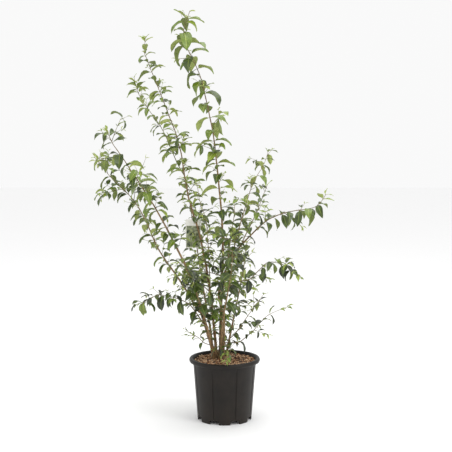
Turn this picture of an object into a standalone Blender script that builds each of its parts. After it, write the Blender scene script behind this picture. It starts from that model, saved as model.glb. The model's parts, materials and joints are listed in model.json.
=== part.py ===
"""A potted privet: a shrub of many arching stems in a round nursery pot with castellated feet.

Metres, +Z up, with the origin at the middle of the pot's underside and +Y away from the viewer.
Every stem is a smooth line through a few places. Its lower stretch is a bare limb, and from there
to its tip it is the stem of a leafy mass. Leaves stand in opposite pairs, and side twigs take the
place of some of them. Sprays that leave a limb at its side follow the same rule.
"""

import math
import random

import bmesh
import bpy
from mathutils import Quaternion, Vector
from mathutils.bvhtree import BVHTree

GAP = 0.0003  # between neighbours that touch on the real plant
TURN = 2 * math.pi
UP = Vector((0, 0, 1))

# Pot: a 10 litre nursery pot
POT_HEIGHT = 0.247
RIM_RADIUS = 0.140
RIM_DEPTH = 0.017
RIM_BEAD = 0.011  # how far the rolled rim stands out past the lip of the opening
SHOULDER_RADIUS = 0.1245  # outside, straight under the rim
FOOT_RADIUS = 0.107
WALL = 0.003
FLOOR_HEIGHT = 0.018  # underside of the floor, and top of the arches between the feet
FLOOR_THICKNESS = 0.004
FEET = 8
FOOT_HALF_ANGLE = math.radians(12)
ARCH_HEIGHT = 0.0165
GROOVE_HALF_ANGLE = math.radians(1.6)
GROOVE_DEPTH = 0.0015
BOSS_RADIUS = 0.030  # round boss under the floor, level with the feet
SHARP_ANGLE = math.radians(35)

# Soil
SOIL_HEIGHT = 0.234  # at the wall
SOIL_MOUND = 0.005  # how much higher it lies round the plant's foot
SOIL_BUMP = 0.0022
PLANT_FOOT = Vector((-0.020, 0.029, SOIL_HEIGHT + SOIL_MOUND))
LEVEL_RADIUS = 0.055  # level ground that carries the root crown

# Root crown and limbs
CROWN_LENGTH = 0.050  # of each stem inside the root crown
BURL_RADIUS = 0.031
BURL_ROWS = ((1.0, -0.012), (1.0, 0.004), (0.72, 0.014), (0.3, 0.024))  # share of radius, height
BURL_SIDES = 10
BURIED = 0.012  # of a stem's foot below the cut, before it is made
FLARE = 0.45  # how much wider a stem is at the soil
FLARE_LENGTH = 0.022
LIMB_SIDES = 6
LINE_STEP = 0.044  # between the rings of a limb
WANDER = 0.0012  # how far a stem strays at each ring
TAPER = 1.3

# Leaves and twigs
LEAF_WIDTH = 0.54  # of its length
LEAF_THICKNESS = 0.03
WIDEST = 0.44  # where along it a leaf is widest
ROOT_SINK = 0.0004  # how far a leaf's root lies past the middle of its twig
LEAF_OPENING = (math.radians(26), math.radians(44), math.radians(9))  # bud, ripe leaf adds, strays
LEAF_CURL = (math.radians(20), math.radians(60), math.radians(22))  # the same, root to tip
LEAF_ROLL = math.radians(24)
LEAF_LIFT = 0.22  # upward share of a leaf's heading
LEAF_NECK = 0.0055  # of a leaf's root that isn't tested against its own twig
YOUNG_LENGTH = 0.11  # of a shoot's tip, where leaves are younger and smaller
FIRST_PAIR = 0.030
TWIG_RADIUS = (0.0015, 0.0007)
TWIG_PIECES = 2
TWIG_SIDES = 3
TWIG_SWELL = 1.45  # a three-sided twig's corner against the round twig's radius
STEM_SIDES = 4
STEM_SWELL = 1.2
CLEAR = 0.0008  # kept between a piece's points and other masses or limbs
SHORT_PIECE = 0.004  # a stretch of a stem gets no joint nearer than this to its ends

# Main stems, from the soil up: the places that each passes, its radius at the soil and at the tip,
# the share of its length that is a bare limb, and its leaves' length low down and high up
STEMS = {
    "leader": {
        "path": ((-0.016, 0.044, 0.239), (-0.014, 0.040, 0.47), (-0.008, 0.032, 0.72),
                 (-0.035, 0.034, 1.06), (-0.066, 0.040, 1.233), (-0.100, 0.046, 1.362),
                 (-0.153, 0.050, 1.476), (-0.158, 0.050, 1.525), (-0.134, 0.052, 1.604)),
        "radius": (0.0062, 0.0011), "bare": 0.33, "leaf": (0.070, 0.104), "pitch": 0.049,
        "twigs": (4, 0.30, 0.86, 0.09), "hang": 0.8,
    },
    "inner_left": {
        "path": ((-0.032, 0.036, 0.239), (-0.052, 0.040, 0.45), (-0.090, 0.047, 0.69),
                 (-0.143, 0.068, 0.88), (-0.183, 0.105, 1.09), (-0.266, 0.155, 1.31),
                 (-0.322, 0.205, 1.45), (-0.321, 0.222, 1.51)),
        "radius": (0.0060, 0.0010), "bare": 0.43, "leaf": (0.066, 0.072), "pitch": 0.050,
        "twigs": (2, 0.05, 0.40, 0.10),
    },
    "outer_left": {
        "path": ((-0.034, 0.018, 0.239), (-0.084, -0.016, 0.403), (-0.136, -0.055, 0.585),
                 (-0.249, -0.115, 0.825), (-0.353, -0.172, 1.004), (-0.413, -0.204, 1.100),
                 (-0.434, -0.220, 1.150)),
        "radius": (0.0072, 0.0012), "bare": 0.42, "leaf": (0.064, 0.080), "pitch": 0.045,
        "twigs": (4, 0.35, 0.98, 0.10), "hang": 0.9,
    },
    "right_arch": {
        "path": ((-0.006, 0.022, 0.239), (-0.004, 0.010, 0.40), (-0.022, -0.002, 0.50),
                 (0.006, -0.008, 0.60), (0.068, -0.022, 0.70), (0.173, -0.055, 0.803),
                 (0.270, -0.082, 0.838), (0.345, -0.110, 0.855), (0.383, -0.135, 0.905)),
        "radius": (0.0068, 0.0010), "bare": 0.62, "leaf": (0.066, 0.082), "pitch": 0.036,
        "twigs": (2, 0.10, 0.60, 0.07), "hang": 1.2,
    },
    "back": {
        "path": ((-0.020, 0.056, 0.239), (-0.012, 0.125, 0.44), (0.020, 0.220, 0.65),
                 (0.042, 0.330, 0.81), (0.040, 0.385, 0.83)),
        "radius": (0.0052, 0.0010), "bare": 0.36, "leaf": (0.066, 0.070), "pitch": 0.049,
        "twigs": (2, 0.15, 0.80, 0.12),
    },
    "back_left": {
        "path": ((-0.042, 0.052, 0.239), (-0.075, 0.115, 0.44), (-0.115, 0.215, 0.66),
                 (-0.150, 0.300, 0.86), (-0.165, 0.350, 0.93)),
        "radius": (0.0050, 0.0010), "bare": 0.36, "leaf": (0.062, 0.066), "pitch": 0.051,
        "twigs": (2, 0.15, 0.80, 0.12),
    },
    "front": {
        "path": ((-0.016, 0.004, 0.239), (-0.004, -0.085, 0.42), (0.020, -0.190, 0.58),
                 (0.030, -0.290, 0.70), (0.022, -0.355, 0.72)),
        "radius": (0.0050, 0.0010), "bare": 0.34, "leaf": (0.066, 0.068), "pitch": 0.049,
        "twigs": (2, 0.15, 0.80, 0.11),
    },
    "front_left": {
        "path": ((-0.042, 0.000, 0.239), (-0.072, -0.075, 0.40), (-0.112, -0.175, 0.55),
                 (-0.150, -0.265, 0.66), (-0.175, -0.315, 0.67)),
        "radius": (0.0048, 0.0010), "bare": 0.34, "leaf": (0.062, 0.064), "pitch": 0.049,
        "twigs": (2, 0.10, 0.80, 0.10),
    },
    "back_right": {
        "path": ((0.006, 0.046, 0.239), (0.040, 0.120, 0.40), (0.075, 0.215, 0.55),
                 (0.092, 0.300, 0.66), (0.100, 0.345, 0.67)),
        "radius": (0.0046, 0.0010), "bare": 0.36, "leaf": (0.060, 0.060), "pitch": 0.050,
        "twigs": (2, 0.10, 0.80, 0.10),
    },
}

# A limb that leaves another at its side, at a share of that one's length
SIDE_LIMBS = {
    "far_left": {
        "on": "outer_left", "at": 0.20,
        "path": ((-0.176, -0.012, 0.557), (-0.263, 0.030, 0.680), (-0.347, 0.085, 0.842),
                 (-0.459, 0.127, 0.957), (-0.522, 0.155, 1.030)),
        "radius": (0.0042, 0.0010), "bare": 0.24, "leaf": (0.062, 0.066), "pitch": 0.048,
        "twigs": (4, 0.35, 0.95, 0.10),
    },
}

# Leafy shoots that leave a limb at its side
SHOOTS = {
    "middle": {
        "on": "inner_left", "at": 0.17,
        "path": ((-0.061, 0.000, 0.640), (-0.072, -0.026, 0.788), (-0.096, -0.072, 0.882),
                 (-0.106, -0.115, 0.950)),
        "radius": (0.0024, 0.0008), "leaf": (0.052, 0.046), "pitch": 0.047,
        "twigs": (2, 0.30, 0.80, 0.08),
    },
    "right_upper": {
        "on": "right_arch", "at": 0.47,
        "path": ((0.066, 0.040, 0.790), (0.084, 0.086, 0.838), (0.116, 0.145, 0.930),
                 (0.155, 0.196, 0.990), (0.178, 0.222, 1.052)),
        "radius": (0.0026, 0.0008), "leaf": (0.056, 0.066), "pitch": 0.044,
        "twigs": (2, 0.45, 0.95, 0.08), "hang": 0.9,
    },
    "right_inner": {
        "on": "right_arch", "at": 0.555,
        "path": ((0.111, -0.082, 0.806), (0.134, -0.130, 0.868), (0.158, -0.195, 0.945)),
        "radius": (0.0022, 0.0008), "leaf": (0.052, 0.050), "pitch": 0.041,
        "twigs": (1, 0.30, 0.80, 0.07),
    },
    "right_middle": {
        "on": "right_arch", "at": 0.285,
        "path": ((0.040, -0.052, 0.555), (0.098, -0.088, 0.575), (0.165, -0.133, 0.645),
                 (0.235, -0.172, 0.635), (0.285, -0.196, 0.600)),
        "radius": (0.0028, 0.0008), "leaf": (0.060, 0.060), "pitch": 0.041,
        "twigs": (3, 0.10, 0.90, 0.08), "hang": 0.8,
    },
    "left_low": {
        "on": "outer_left", "at": 0.155,
        "path": ((-0.142, -0.076, 0.478), (-0.190, -0.108, 0.504), (-0.246, -0.132, 0.520),
                 (-0.283, -0.156, 0.512), (-0.318, -0.175, 0.490)),
        "radius": (0.0028, 0.0008), "leaf": (0.060, 0.066), "pitch": 0.042,
        "twigs": (2, 0.30, 0.95, 0.07), "hang": 0.8,
    },
    "right_low": {
        "on": "right_arch", "at": 0.07,
        "path": ((0.053, -0.015, 0.310), (0.111, -0.055, 0.364), (0.165, -0.092, 0.432),
                 (0.240, -0.118, 0.470)),
        "radius": (0.0022, 0.0008), "leaf": (0.050, 0.054), "pitch": 0.045,
        "twigs": (1, 0.30, 0.80, 0.07),
    },
    "right_low_back": {
        "on": "back_right", "at": 0.14,
        "path": ((0.055, 0.060, 0.345), (0.103, 0.110, 0.405), (0.160, 0.165, 0.470)),
        "radius": (0.0022, 0.0008), "leaf": (0.050, 0.046), "pitch": 0.043,
        "twigs": (2, 0.30, 0.90, 0.07),
    },
    "left_lowest": {
        "on": "front_left", "at": 0.13,
        "path": ((-0.082, -0.036, 0.315), (-0.107, -0.060, 0.343), (-0.138, -0.082, 0.352)),
        "radius": (0.0018, 0.0008), "leaf": (0.040, 0.038), "pitch": 0.029,
        "twigs": (1, 0.30, 0.80, 0.05),
    },
    "over_the_rim": {
        "on": "front", "at": 0.13,
        "path": ((0.022, -0.044, 0.298), (0.022, -0.092, 0.296), (0.006, -0.150, 0.268)),
        "radius": (0.0018, 0.0008), "leaf": (0.042, 0.050), "pitch": 0.031,
        "twigs": (1, 0.30, 0.80, 0.045),
    },
}

# A long fork inside a leafy mass, from the height where it leaves the mass's stem
FORKS = {
    "inner_left": {
        "height": 0.930,
        "path": ((-0.190, 0.178, 1.001), (-0.251, 0.240, 1.134), (-0.321, 0.280, 1.232),
                 (-0.362, 0.305, 1.300), (-0.377, 0.330, 1.355)),
        "radius": (0.0024, 0.0009), "leaf": (0.060, 0.066), "pitch": 0.045,
    },
}

# Short leafy sprays up the sides of the bare limbs: how many, and between which shares of the length
SIDE_SPRAYS = {
    "leader": (4, 0.11, 0.31),
    "inner_left": (4, 0.09, 0.39),
    "outer_left": (3, 0.13, 0.38),
    "right_arch": (4, 0.16, 0.60),
}
SIDE_SPRAY = {
    "radius": (0.0021, 0.0008), "leaf": (0.060, 0.060), "pitch": 0.043,
    "twigs": (1, 0.20, 0.60, 0.07),
}
SIDE_SPRAY_LENGTH = (0.11, 0.18)
SIDE_SPRAY_RISE = (0.25, 0.9)  # upward share of its heading
SPRAY_TRIES = 12
COLLAR = 0.004  # how far a side shoot stands straight out of its limb
GOLDEN_ANGLE = math.radians(137.5)

# Care card on the inner left stem, blank on both sides
TAG_WIDTH = 0.059
TAG_HEIGHT = 0.115
TAG_THICKNESS = 0.001
TAG_AT = 0.415  # share of the stem's length
TAG_BEHIND = 0.014  # from the stem's middle to the card
TAG_BAND = 0.0012
TAG_BAND_WIDTH = 0.005
TAG_BAND_SIDES = 8
TAG_NECK = 0.004  # of the strip between band and card
TAG_LEFT = 0.66  # share of the card that lies left of the stem

# Names, linear colours and roughness
PLASTIC = ("pot_plastic", (0.030, 0.028, 0.026), 0.55)
MULCH = ("bark_mulch", (0.20, 0.11, 0.055), 0.95)
BARK = ("bark", (0.19, 0.12, 0.065), 0.85)
LEAVES = ("leaves", (0.085, 0.15, 0.03), 0.45)
CARD = ("card", (0.55, 0.56, 0.50), 0.6)


def clear_scene():
    for thing in list(bpy.data.objects):
        bpy.data.objects.remove(thing, do_unlink=True)


def material(look):
    name, colour, roughness = look
    found = bpy.data.materials.get(name)
    if found:
        return found
    made = bpy.data.materials.new(name)
    made.use_nodes = True
    shader = made.node_tree.nodes["Principled BSDF"]
    shader.inputs["Base Color"].default_value = (*colour, 1)
    shader.inputs["Roughness"].default_value = roughness
    shader.inputs["Metallic"].default_value = 0.0
    return made


def add_object(name, shape, look, collection=None):
    """An object from (points, faces) in its place."""
    points, faces = shape
    mesh = bpy.data.meshes.new(name)
    mesh.from_pydata(points, [], faces)
    mesh.update()
    mesh.materials.append(material(look))
    made = bpy.data.objects.new(name, mesh)
    (collection or bpy.context.scene.collection).objects.link(made)
    return made


class Line:
    """A stem's middle line: straight pieces between points, read by the length along it."""

    def __init__(self, points):
        self.points = points
        self.marks = [0.0]
        for a, b in zip(points, points[1:]):
            self.marks.append(self.marks[-1] + (b - a).length)
        self.length = self.marks[-1]

    def segment(self, s):
        for i in range(len(self.points) - 2):
            if s < self.marks[i + 1]:
                return i
        return len(self.points) - 2

    def at(self, s):
        i = self.segment(s)
        share = (s - self.marks[i]) / (self.marks[i + 1] - self.marks[i])
        return self.points[i].lerp(self.points[i + 1], share)

    def direction(self, s):
        i = self.segment(s)
        return (self.points[i + 1] - self.points[i]).normalized()

    def part(self, start, end):
        inner = [p for p, m in zip(self.points, self.marks) if start + SHORT_PIECE < m < end - SHORT_PIECE]
        return Line([self.at(start), *inner, self.at(end)])


def smooth_line(places, step, rng):
    """A line with a point about every step on the smooth curve through the places, straying a little."""
    places = [Vector(p) for p in places]
    ends = [2 * places[0] - places[1], *places, 2 * places[-1] - places[-2]]
    points = [places[0]]
    for p0, p1, p2, p3 in zip(ends, ends[1:], ends[2:], ends[3:]):
        count = max(1, round((p2 - p1).length / step))
        for i in range(1, count + 1):
            t = i / count
            slope_in, slope_out = (p2 - p0) / 2, (p3 - p1) / 2
            point = (p1 * (2 * t**3 - 3 * t**2 + 1) + slope_in * (t**3 - 2 * t**2 + t)
                     + p2 * (3 * t**2 - 2 * t**3) + slope_out * (t**3 - t**2))
            stray = Vector((rng.uniform(-1, 1), rng.uniform(-1, 1), 0)) * WANDER
            points.append(point + stray)
    return Line(points)


def tube(line, radius_at, sides, swell=1.0, facing=None, pointed=False):
    """Points and faces of a closed tube round a line, with its first end square to `facing`."""
    points, faces, rings = [], [], []
    count = len(line.points)
    normal = facing or line.direction(0)
    across = normal.orthogonal().normalized()
    for i, (middle, mark) in enumerate(zip(line.points, line.marks)):
        if pointed and i == count - 1:
            points.append(middle)
            rings.append([len(points) - 1])
            break
        before = line.points[i] - line.points[i - 1] if i else None
        after = line.points[i + 1] - line.points[i] if i < count - 1 else None
        if i == 0:
            heading = normal
        elif after is None:
            heading = before.normalized()
        else:
            heading = (before.normalized() + after.normalized()).normalized()
        across = (across - heading * across.dot(heading)).normalized()
        side = heading.cross(across)
        radius = radius_at(mark) * swell
        ring = []
        for k in range(sides):
            angle = TURN * k / sides
            points.append(middle + (across * math.cos(angle) + side * math.sin(angle)) * radius)
            ring.append(len(points) - 1)
        rings.append(ring)
    faces.append(tuple(reversed(rings[0])))
    for low, high in zip(rings, rings[1:]):
        for k in range(sides):
            after = (k + 1) % sides
            if len(high) == 1:
                faces.append((low[k], low[after], high[0]))
            else:
                faces.append((low[k], low[after], high[after], high[k]))
    if not pointed:
        faces.append(tuple(rings[-1]))
    return points, faces


def stem_radius(radius, length, flare=0.0):
    """Radius by the length along a stem, which narrows from foot to tip and may flare at its foot."""
    foot, tip = radius

    def at(s):
        left = max(1 - s / length, 0.0)
        return (tip + (foot - tip) * left**TAPER) * (1 + flare * math.exp(-s / FLARE_LENGTH))

    return at


def leaf_point(leaf, share):
    """A place on the midrib, which leaves along `out` and curls evenly away from `face`."""
    curl = leaf["curl"]
    run = math.sin(curl * share) / curl
    drop = (1 - math.cos(curl * share)) / curl
    return leaf["root"] + (leaf["out"] * run - leaf["face"] * drop) * leaf["size"]


def leaf_solid(leaf, root_shift):
    """Five points and six faces: a thin blade, widest near its middle and bent there, with a keel below."""
    face = Quaternion(leaf["across"], -leaf["curl"] * WIDEST) @ leaf["face"]
    middle = leaf_point(leaf, WIDEST)
    half = leaf["across"] * leaf["size"] * LEAF_WIDTH / 2
    points = [
        leaf["root"] + leaf["out"] * root_shift,
        middle + half,
        middle - half,
        leaf_point(leaf, 1.0),
        middle - face * leaf["size"] * LEAF_THICKNESS,
    ]
    root, left, right, tip, keel = range(5)
    faces = [(root, left, right), (tip, right, left), (root, keel, left), (root, right, keel),
             (tip, left, keel), (tip, keel, right)]
    return points, faces


def axes_round(along):
    """A level direction and an upward one, both square to a stem's direction."""
    level = along.cross(UP)
    level = level.normalized() if level.length > 0.05 else Vector((1, 0, 0))
    return level, level.cross(along).normalized()


def make_leaf(line, s, angle, size, ripeness, hang, rng):
    """One leaf of a pair. ripeness is 1 when full-grown and near 0 at the bud. hang makes it droop."""
    along = line.direction(s)
    level, upward = axes_round(along)
    flat = 1 - 0.55 * (1 - abs(along.z))
    side = (level * math.cos(angle) + upward * math.sin(angle) * flat).normalized()
    opening = LEAF_OPENING[0] + LEAF_OPENING[1] * ripeness + rng.uniform(-1, 1) * LEAF_OPENING[2]
    out = along * math.cos(opening) + side * math.sin(opening) + UP * (LEAF_LIFT - hang) * ripeness
    out.normalize()
    across = out.cross(UP)
    across = across.normalized() if across.length > 0.2 else level
    across = Quaternion(out, rng.uniform(-LEAF_ROLL, LEAF_ROLL)) @ across
    across = (across - out * across.dot(out)).normalized()
    return {
        "root": line.at(s),
        "out": out,
        "across": across,
        "face": across.cross(out).normalized(),
        "curl": LEAF_CURL[0] + LEAF_CURL[1] * ripeness + rng.uniform(-0.6, 1) * LEAF_CURL[2],
        "size": size * rng.uniform(0.86, 1.1),
    }


def leaf_pairs(line, first, sizes, pitch, hang, rng):
    """Opposite pairs up a line, each about a quarter turn from the one below, smaller towards the bud."""
    leaves = []
    angle = rng.uniform(0, TURN)
    s = first
    while s < line.length - 0.25 * pitch:
        share = s / line.length
        ripeness = min(1.0, 0.12 + (line.length - s) / YOUNG_LENGTH)
        size = (sizes[0] + (sizes[1] - sizes[0]) * share) * (0.42 + 0.58 * ripeness)
        for half_turn in (0, math.pi):
            leaves.append(make_leaf(line, s, angle + half_turn, size, ripeness, hang * share, rng))
        angle += math.pi / 2 + rng.uniform(-0.3, 0.3)
        s += pitch * rng.uniform(0.86, 1.14) * (0.55 + 0.45 * ripeness)
    return leaves


def side_twig(line, s, angle, length, rng):
    """The line of a twig that leaves at an angle round the stem, rises and then levels out."""
    along = line.direction(s)
    level, upward = axes_round(along)
    side = level * math.cos(angle) + upward * math.sin(angle)
    heading = (along * 0.55 + side + UP * 0.15).normalized()
    sag = rng.uniform(0.05, 0.22)
    shares = [i / TWIG_PIECES for i in range(TWIG_PIECES + 1)]
    return Line([line.at(s) + heading * length * t - UP * length * sag * t * t for t in shares])


def forked(line, fork, rng):
    """A fork of a mass's stem, with its radius and leaves."""
    s = next(m for p, m in zip(line.points, line.marks) if p.z > fork["height"])
    fork_line = smooth_line([line.at(s), *fork["path"]], LINE_STEP, rng)
    return fork_line, fork["radius"], leaf_pairs(fork_line, FIRST_PAIR, fork["leaf"], fork["pitch"], 0, rng)


def grow(line, spec, rng):
    """All that a shoot would bear: its own leaves, and its twigs, each with radius and leaves."""
    hang = spec.get("hang", 0)
    leaves = leaf_pairs(line, FIRST_PAIR, spec["leaf"], spec["pitch"], hang, rng)
    turn = rng.uniform(0, TURN)
    twigs = []
    count, low, high, usual = spec["twigs"]
    for i in range(count):
        share = low + (high - low) * (i + rng.uniform(0.2, 0.8)) / count
        length = usual * rng.uniform(0.7, 1.2)
        twig = side_twig(line, share * line.length, turn + i * GOLDEN_ANGLE, length, rng)
        small = spec["leaf"][0] * 0.92
        own = leaf_pairs(twig, 0.3 * length, (small, small), spec["pitch"] * 0.8, hang, rng)
        twigs.append((twig, TWIG_RADIUS, own))
    return leaves, twigs


class Taken:
    """What fills space already. A new piece is tested against all of it."""

    def __init__(self):
        self.trees = {}

    def add(self, name, shape):
        self.trees.setdefault(name, []).append(BVHTree.FromPolygons(*shape))

    def bark(self, stem):
        """The surface of a stem's bare limb."""
        return self.trees[stem + "_stem"][0]

    def free(self, shape, skip=()):
        points = shape[0]
        own = BVHTree.FromPolygons(*shape)
        for name, trees in self.trees.items():
            if name in skip:
                continue
            for tree in trees:
                if own.overlap(tree):
                    return False
                if any(tree.find_nearest(p, CLEAR)[0] is not None for p in points):
                    return False
        return True


def union(base, shapes, look):
    """Fuses the shapes onto the object base, and leaves one closed shell."""
    pieces = bpy.data.collections.new("pieces")
    bpy.context.scene.collection.children.link(pieces)
    for i, shape in enumerate(shapes):
        add_object(f"piece_{i}", shape, look, pieces)
    join = base.modifiers.new("join", "BOOLEAN")
    join.operation = "UNION"
    join.operand_type = "COLLECTION"
    join.collection = pieces
    join.solver = "MANIFOLD"  # the exact solver leaves some of the leaves loose
    apply_modifiers(base)
    for piece in list(pieces.objects):
        bpy.data.objects.remove(piece, do_unlink=True)
    bpy.data.collections.remove(pieces)
    keep_outer_shell(base.data)


def apply_modifiers(thing):
    graph = bpy.context.evaluated_depsgraph_get()
    graph.update()
    mesh = bpy.data.meshes.new_from_object(thing.evaluated_get(graph))
    thing.modifiers.clear()
    thing.data = mesh


def keep_outer_shell(mesh):
    """Drops every shell but the widest: sealed hollows and loose scraps."""
    shape = bmesh.new()
    shape.from_mesh(mesh)
    left = set(shape.verts)
    shells = []
    while left:
        waiting = [left.pop()]
        shell = []
        while waiting:
            vert = waiting.pop()
            shell.append(vert)
            near = {edge.other_vert(vert) for edge in vert.link_edges} & left
            left -= near
            waiting.extend(near)
        shells.append(shell)

    def spread(shell):
        return sum(max(v.co[k] for v in shell) - min(v.co[k] for v in shell) for k in range(3))

    shells.sort(key=spread)
    for shell in shells[:-1]:
        bmesh.ops.delete(shape, geom=shell, context="VERTS")
    shape.to_mesh(mesh)
    shape.free()


def leave_from(line, s, places, bark):
    """The places of a shoot that leaves a limb's side towards the first place, GAP clear of its bark."""
    middle, along = line.at(s), line.direction(s)
    way = Vector(places[0]) - middle
    side = (way - along * way.dot(along)).normalized()
    seat, facing, _, _ = bark.ray_cast(middle + side * COLLAR * 5, -side)
    start = seat + facing * GAP
    collar = start + (facing + along * 0.4) * COLLAR
    return [start, collar, *places], facing


def rng_for(name):
    return random.Random("privet " + name)


def pot_angles():
    """Angles round the pot. A groove runs up the wall halfway between each two feet."""
    sector = TURN / FEET
    steps = (0, sector * 0.25, sector / 2 - GROOVE_HALF_ANGLE, sector / 2,
             sector / 2 + GROOVE_HALF_ANGLE, sector * 0.75)
    return [(i * sector + step, step == sector / 2) for i in range(FEET) for step in steps]


def wall_radius(height):
    """Outside of the pot's wall, which widens evenly from the feet to the rim."""
    return FOOT_RADIUS + (SHOULDER_RADIUS - FOOT_RADIUS) * height / (POT_HEIGHT - RIM_DEPTH)


def turned(profile, angles):
    """A closed solid of revolution. The profile's rows are (radius, height, depth of the grooves)."""
    points, faces, rings = [], [], []
    for radius, height, groove in profile:
        if radius == 0:
            points.append(Vector((0, 0, height)))
            rings.append([len(points) - 1] * len(angles))
            continue
        ring = []
        for angle, grooved in angles:
            r = radius - groove * grooved
            points.append(Vector((r * math.sin(angle), -r * math.cos(angle), height)))
            ring.append(len(points) - 1)
        rings.append(ring)
    for low, high in zip(rings, rings[1:]):
        for k in range(len(angles)):
            after = (k + 1) % len(angles)
            corners = []
            for corner in (low[k], low[after], high[after], high[k]):
                if corner not in corners:
                    corners.append(corner)
            faces.append(tuple(corners))
    return points, faces


def make_pot():
    shoulder = POT_HEIGHT - RIM_DEPTH
    floor_top = FLOOR_HEIGHT + FLOOR_THICKNESS
    lip = RIM_RADIUS - RIM_BEAD
    profile = [
        (0, 0, 0), (BOSS_RADIUS, 0, 0), (BOSS_RADIUS, FLOOR_HEIGHT, 0),
        (wall_radius(FLOOR_HEIGHT) - WALL - GROOVE_DEPTH, FLOOR_HEIGHT, 0),
        (FOOT_RADIUS - WALL - GROOVE_DEPTH, 0, 0), (FOOT_RADIUS, 0, GROOVE_DEPTH),
        (wall_radius(shoulder), shoulder, GROOVE_DEPTH), (wall_radius(shoulder), shoulder + 0.001, 0),
        (RIM_RADIUS - RIM_BEAD * 0.45, shoulder, 0), (RIM_RADIUS, shoulder + RIM_DEPTH * 0.3, 0),
        (RIM_RADIUS, shoulder + RIM_DEPTH * 0.65, 0), (lip + RIM_BEAD * 0.4, POT_HEIGHT, 0),
        (lip, POT_HEIGHT, 0),
        (wall_radius(shoulder) - WALL - GROOVE_DEPTH, shoulder, 0),
        (wall_radius(floor_top) - WALL - GROOVE_DEPTH, floor_top, 0), (0, floor_top, 0),
    ]
    pot = add_object("pot", turned(profile, pot_angles()), PLASTIC)
    arches = add_object("arch_cutter", arch_wedges(), PLASTIC)
    arches.hide_render = True
    arches.display_type = "WIRE"
    pot.data.shade_smooth()
    pot.data.set_sharp_from_angle(angle=SHARP_ANGLE)
    cut = pot.modifiers.new("arches", "BOOLEAN")
    cut.operation = "DIFFERENCE"
    cut.object = arches
    return pot


def arch_wedges():
    """The openings between the feet, as wedges that cut through the skirt under the floor."""
    points, faces = [], []
    inner, outer = FOOT_RADIUS - 3 * WALL, FOOT_RADIUS + 3 * WALL
    for i in range(FEET):
        middle = TURN * (i + 0.5) / FEET
        half = TURN / FEET / 2 - FOOT_HALF_ANGLE
        first = len(points)
        for height, shrink in ((-WALL, 1.0), (ARCH_HEIGHT * 0.6, 1.0), (ARCH_HEIGHT, 0.62)):
            for radius, side in ((inner, -1), (outer, -1), (outer, 1), (inner, 1)):
                angle = middle + side * half * shrink
                points.append(Vector((radius * math.sin(angle), -radius * math.cos(angle), height)))
        for level in range(2):
            for k in range(4):
                low, after = first + 4 * level + k, first + 4 * level + (k + 1) % 4
                faces.append((low, after, after + 4, low + 4))
        faces.append((first + 3, first + 2, first + 1, first))
        faces.append((first + 8, first + 9, first + 10, first + 11))
    return points, faces


def soil_level(x, y):
    """Height of the mulch: mounded and level round the plant's foot, and uneven elsewhere."""
    away = math.hypot(x - PLANT_FOOT.x, y - PLANT_FOOT.y)
    t = min(max((away - LEVEL_RADIUS) / LEVEL_RADIUS, 0.0), 1.0)
    near = 1 - t * t * (3 - 2 * t)
    bump = math.sin(x * 190 + 1.3) * math.cos(y * 230 - 0.6) * math.sin((x + y) * 120)
    return SOIL_HEIGHT + SOIL_MOUND * near + SOIL_BUMP * (1 - near) * bump


def make_soil():
    """The root ball and mulch that fill the pot."""
    angles = pot_angles()
    bottom = FLOOR_HEIGHT + FLOOR_THICKNESS + GAP
    inset = WALL + GROOVE_DEPTH + GAP
    edge = wall_radius(SOIL_HEIGHT) - inset
    profile = [(0, bottom, 0), (wall_radius(bottom) - inset, bottom, 0), (edge - GAP, SOIL_HEIGHT, 0)]
    profile += [(edge * share, SOIL_HEIGHT, 0) for share in (0.8, 0.55, 0.3, 0)]
    points, faces = turned(profile, angles)
    for point in points[1 + 2 * len(angles):]:
        point.z = soil_level(point.x, point.y)
    return add_object("soil", (points, faces), MULCH)


def make_tag(limb, radius_at, s):
    """A blank care card that hangs behind a limb by a band round it."""
    middle, along = limb.at(s), limb.direction(s)
    inner = radius_at(s) + GAP * 2
    outer = inner + TAG_BAND
    level, upward = axes_round(along)
    points, faces = [], []
    rows = ((inner, -1), (outer, -1), (outer, 1), (inner, 1))
    for radius, side in rows:
        for k in range(TAG_BAND_SIDES):
            angle = TURN * k / TAG_BAND_SIDES
            ray = level * math.cos(angle) + upward * math.sin(angle)
            corner = radius / math.cos(math.pi / TAG_BAND_SIDES)
            points.append(middle + ray * corner + along * side * TAG_BAND_WIDTH / 2)
    for row in range(4):
        for k in range(TAG_BAND_SIDES):
            low, after = row * TAG_BAND_SIDES + k, row * TAG_BAND_SIDES + (k + 1) % TAG_BAND_SIDES
            up = (row + 1) % 4 * TAG_BAND_SIDES
            faces.append((low, up + k, up + (k + 1) % TAG_BAND_SIDES, after))
    band = (points, faces)
    card_y = middle.y + TAG_BEHIND
    top = middle.z + TAG_BAND_WIDTH
    left = middle.x - TAG_WIDTH * TAG_LEFT
    card = box((left, card_y, top - TAG_HEIGHT), (left + TAG_WIDTH, card_y + TAG_THICKNESS, top))
    half = TAG_NECK / 2
    neck = box((middle.x - half, middle.y + inner + TAG_BAND / 2, middle.z - half),
               (middle.x + half, card_y + TAG_THICKNESS / 2, middle.z + half))
    tag = add_object("care_tag", card, CARD)
    union(tag, [neck, band], CARD)
    return tag


def box(low, high):
    ends = (low, high)
    points = [Vector((x[0], y[1], z[2])) for z in ends for y in ends for x in ends]
    faces = [(0, 2, 3, 1), (4, 5, 7, 6), (0, 1, 5, 4), (2, 6, 7, 3), (0, 4, 6, 2), (1, 3, 7, 5)]
    return points, faces


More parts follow.
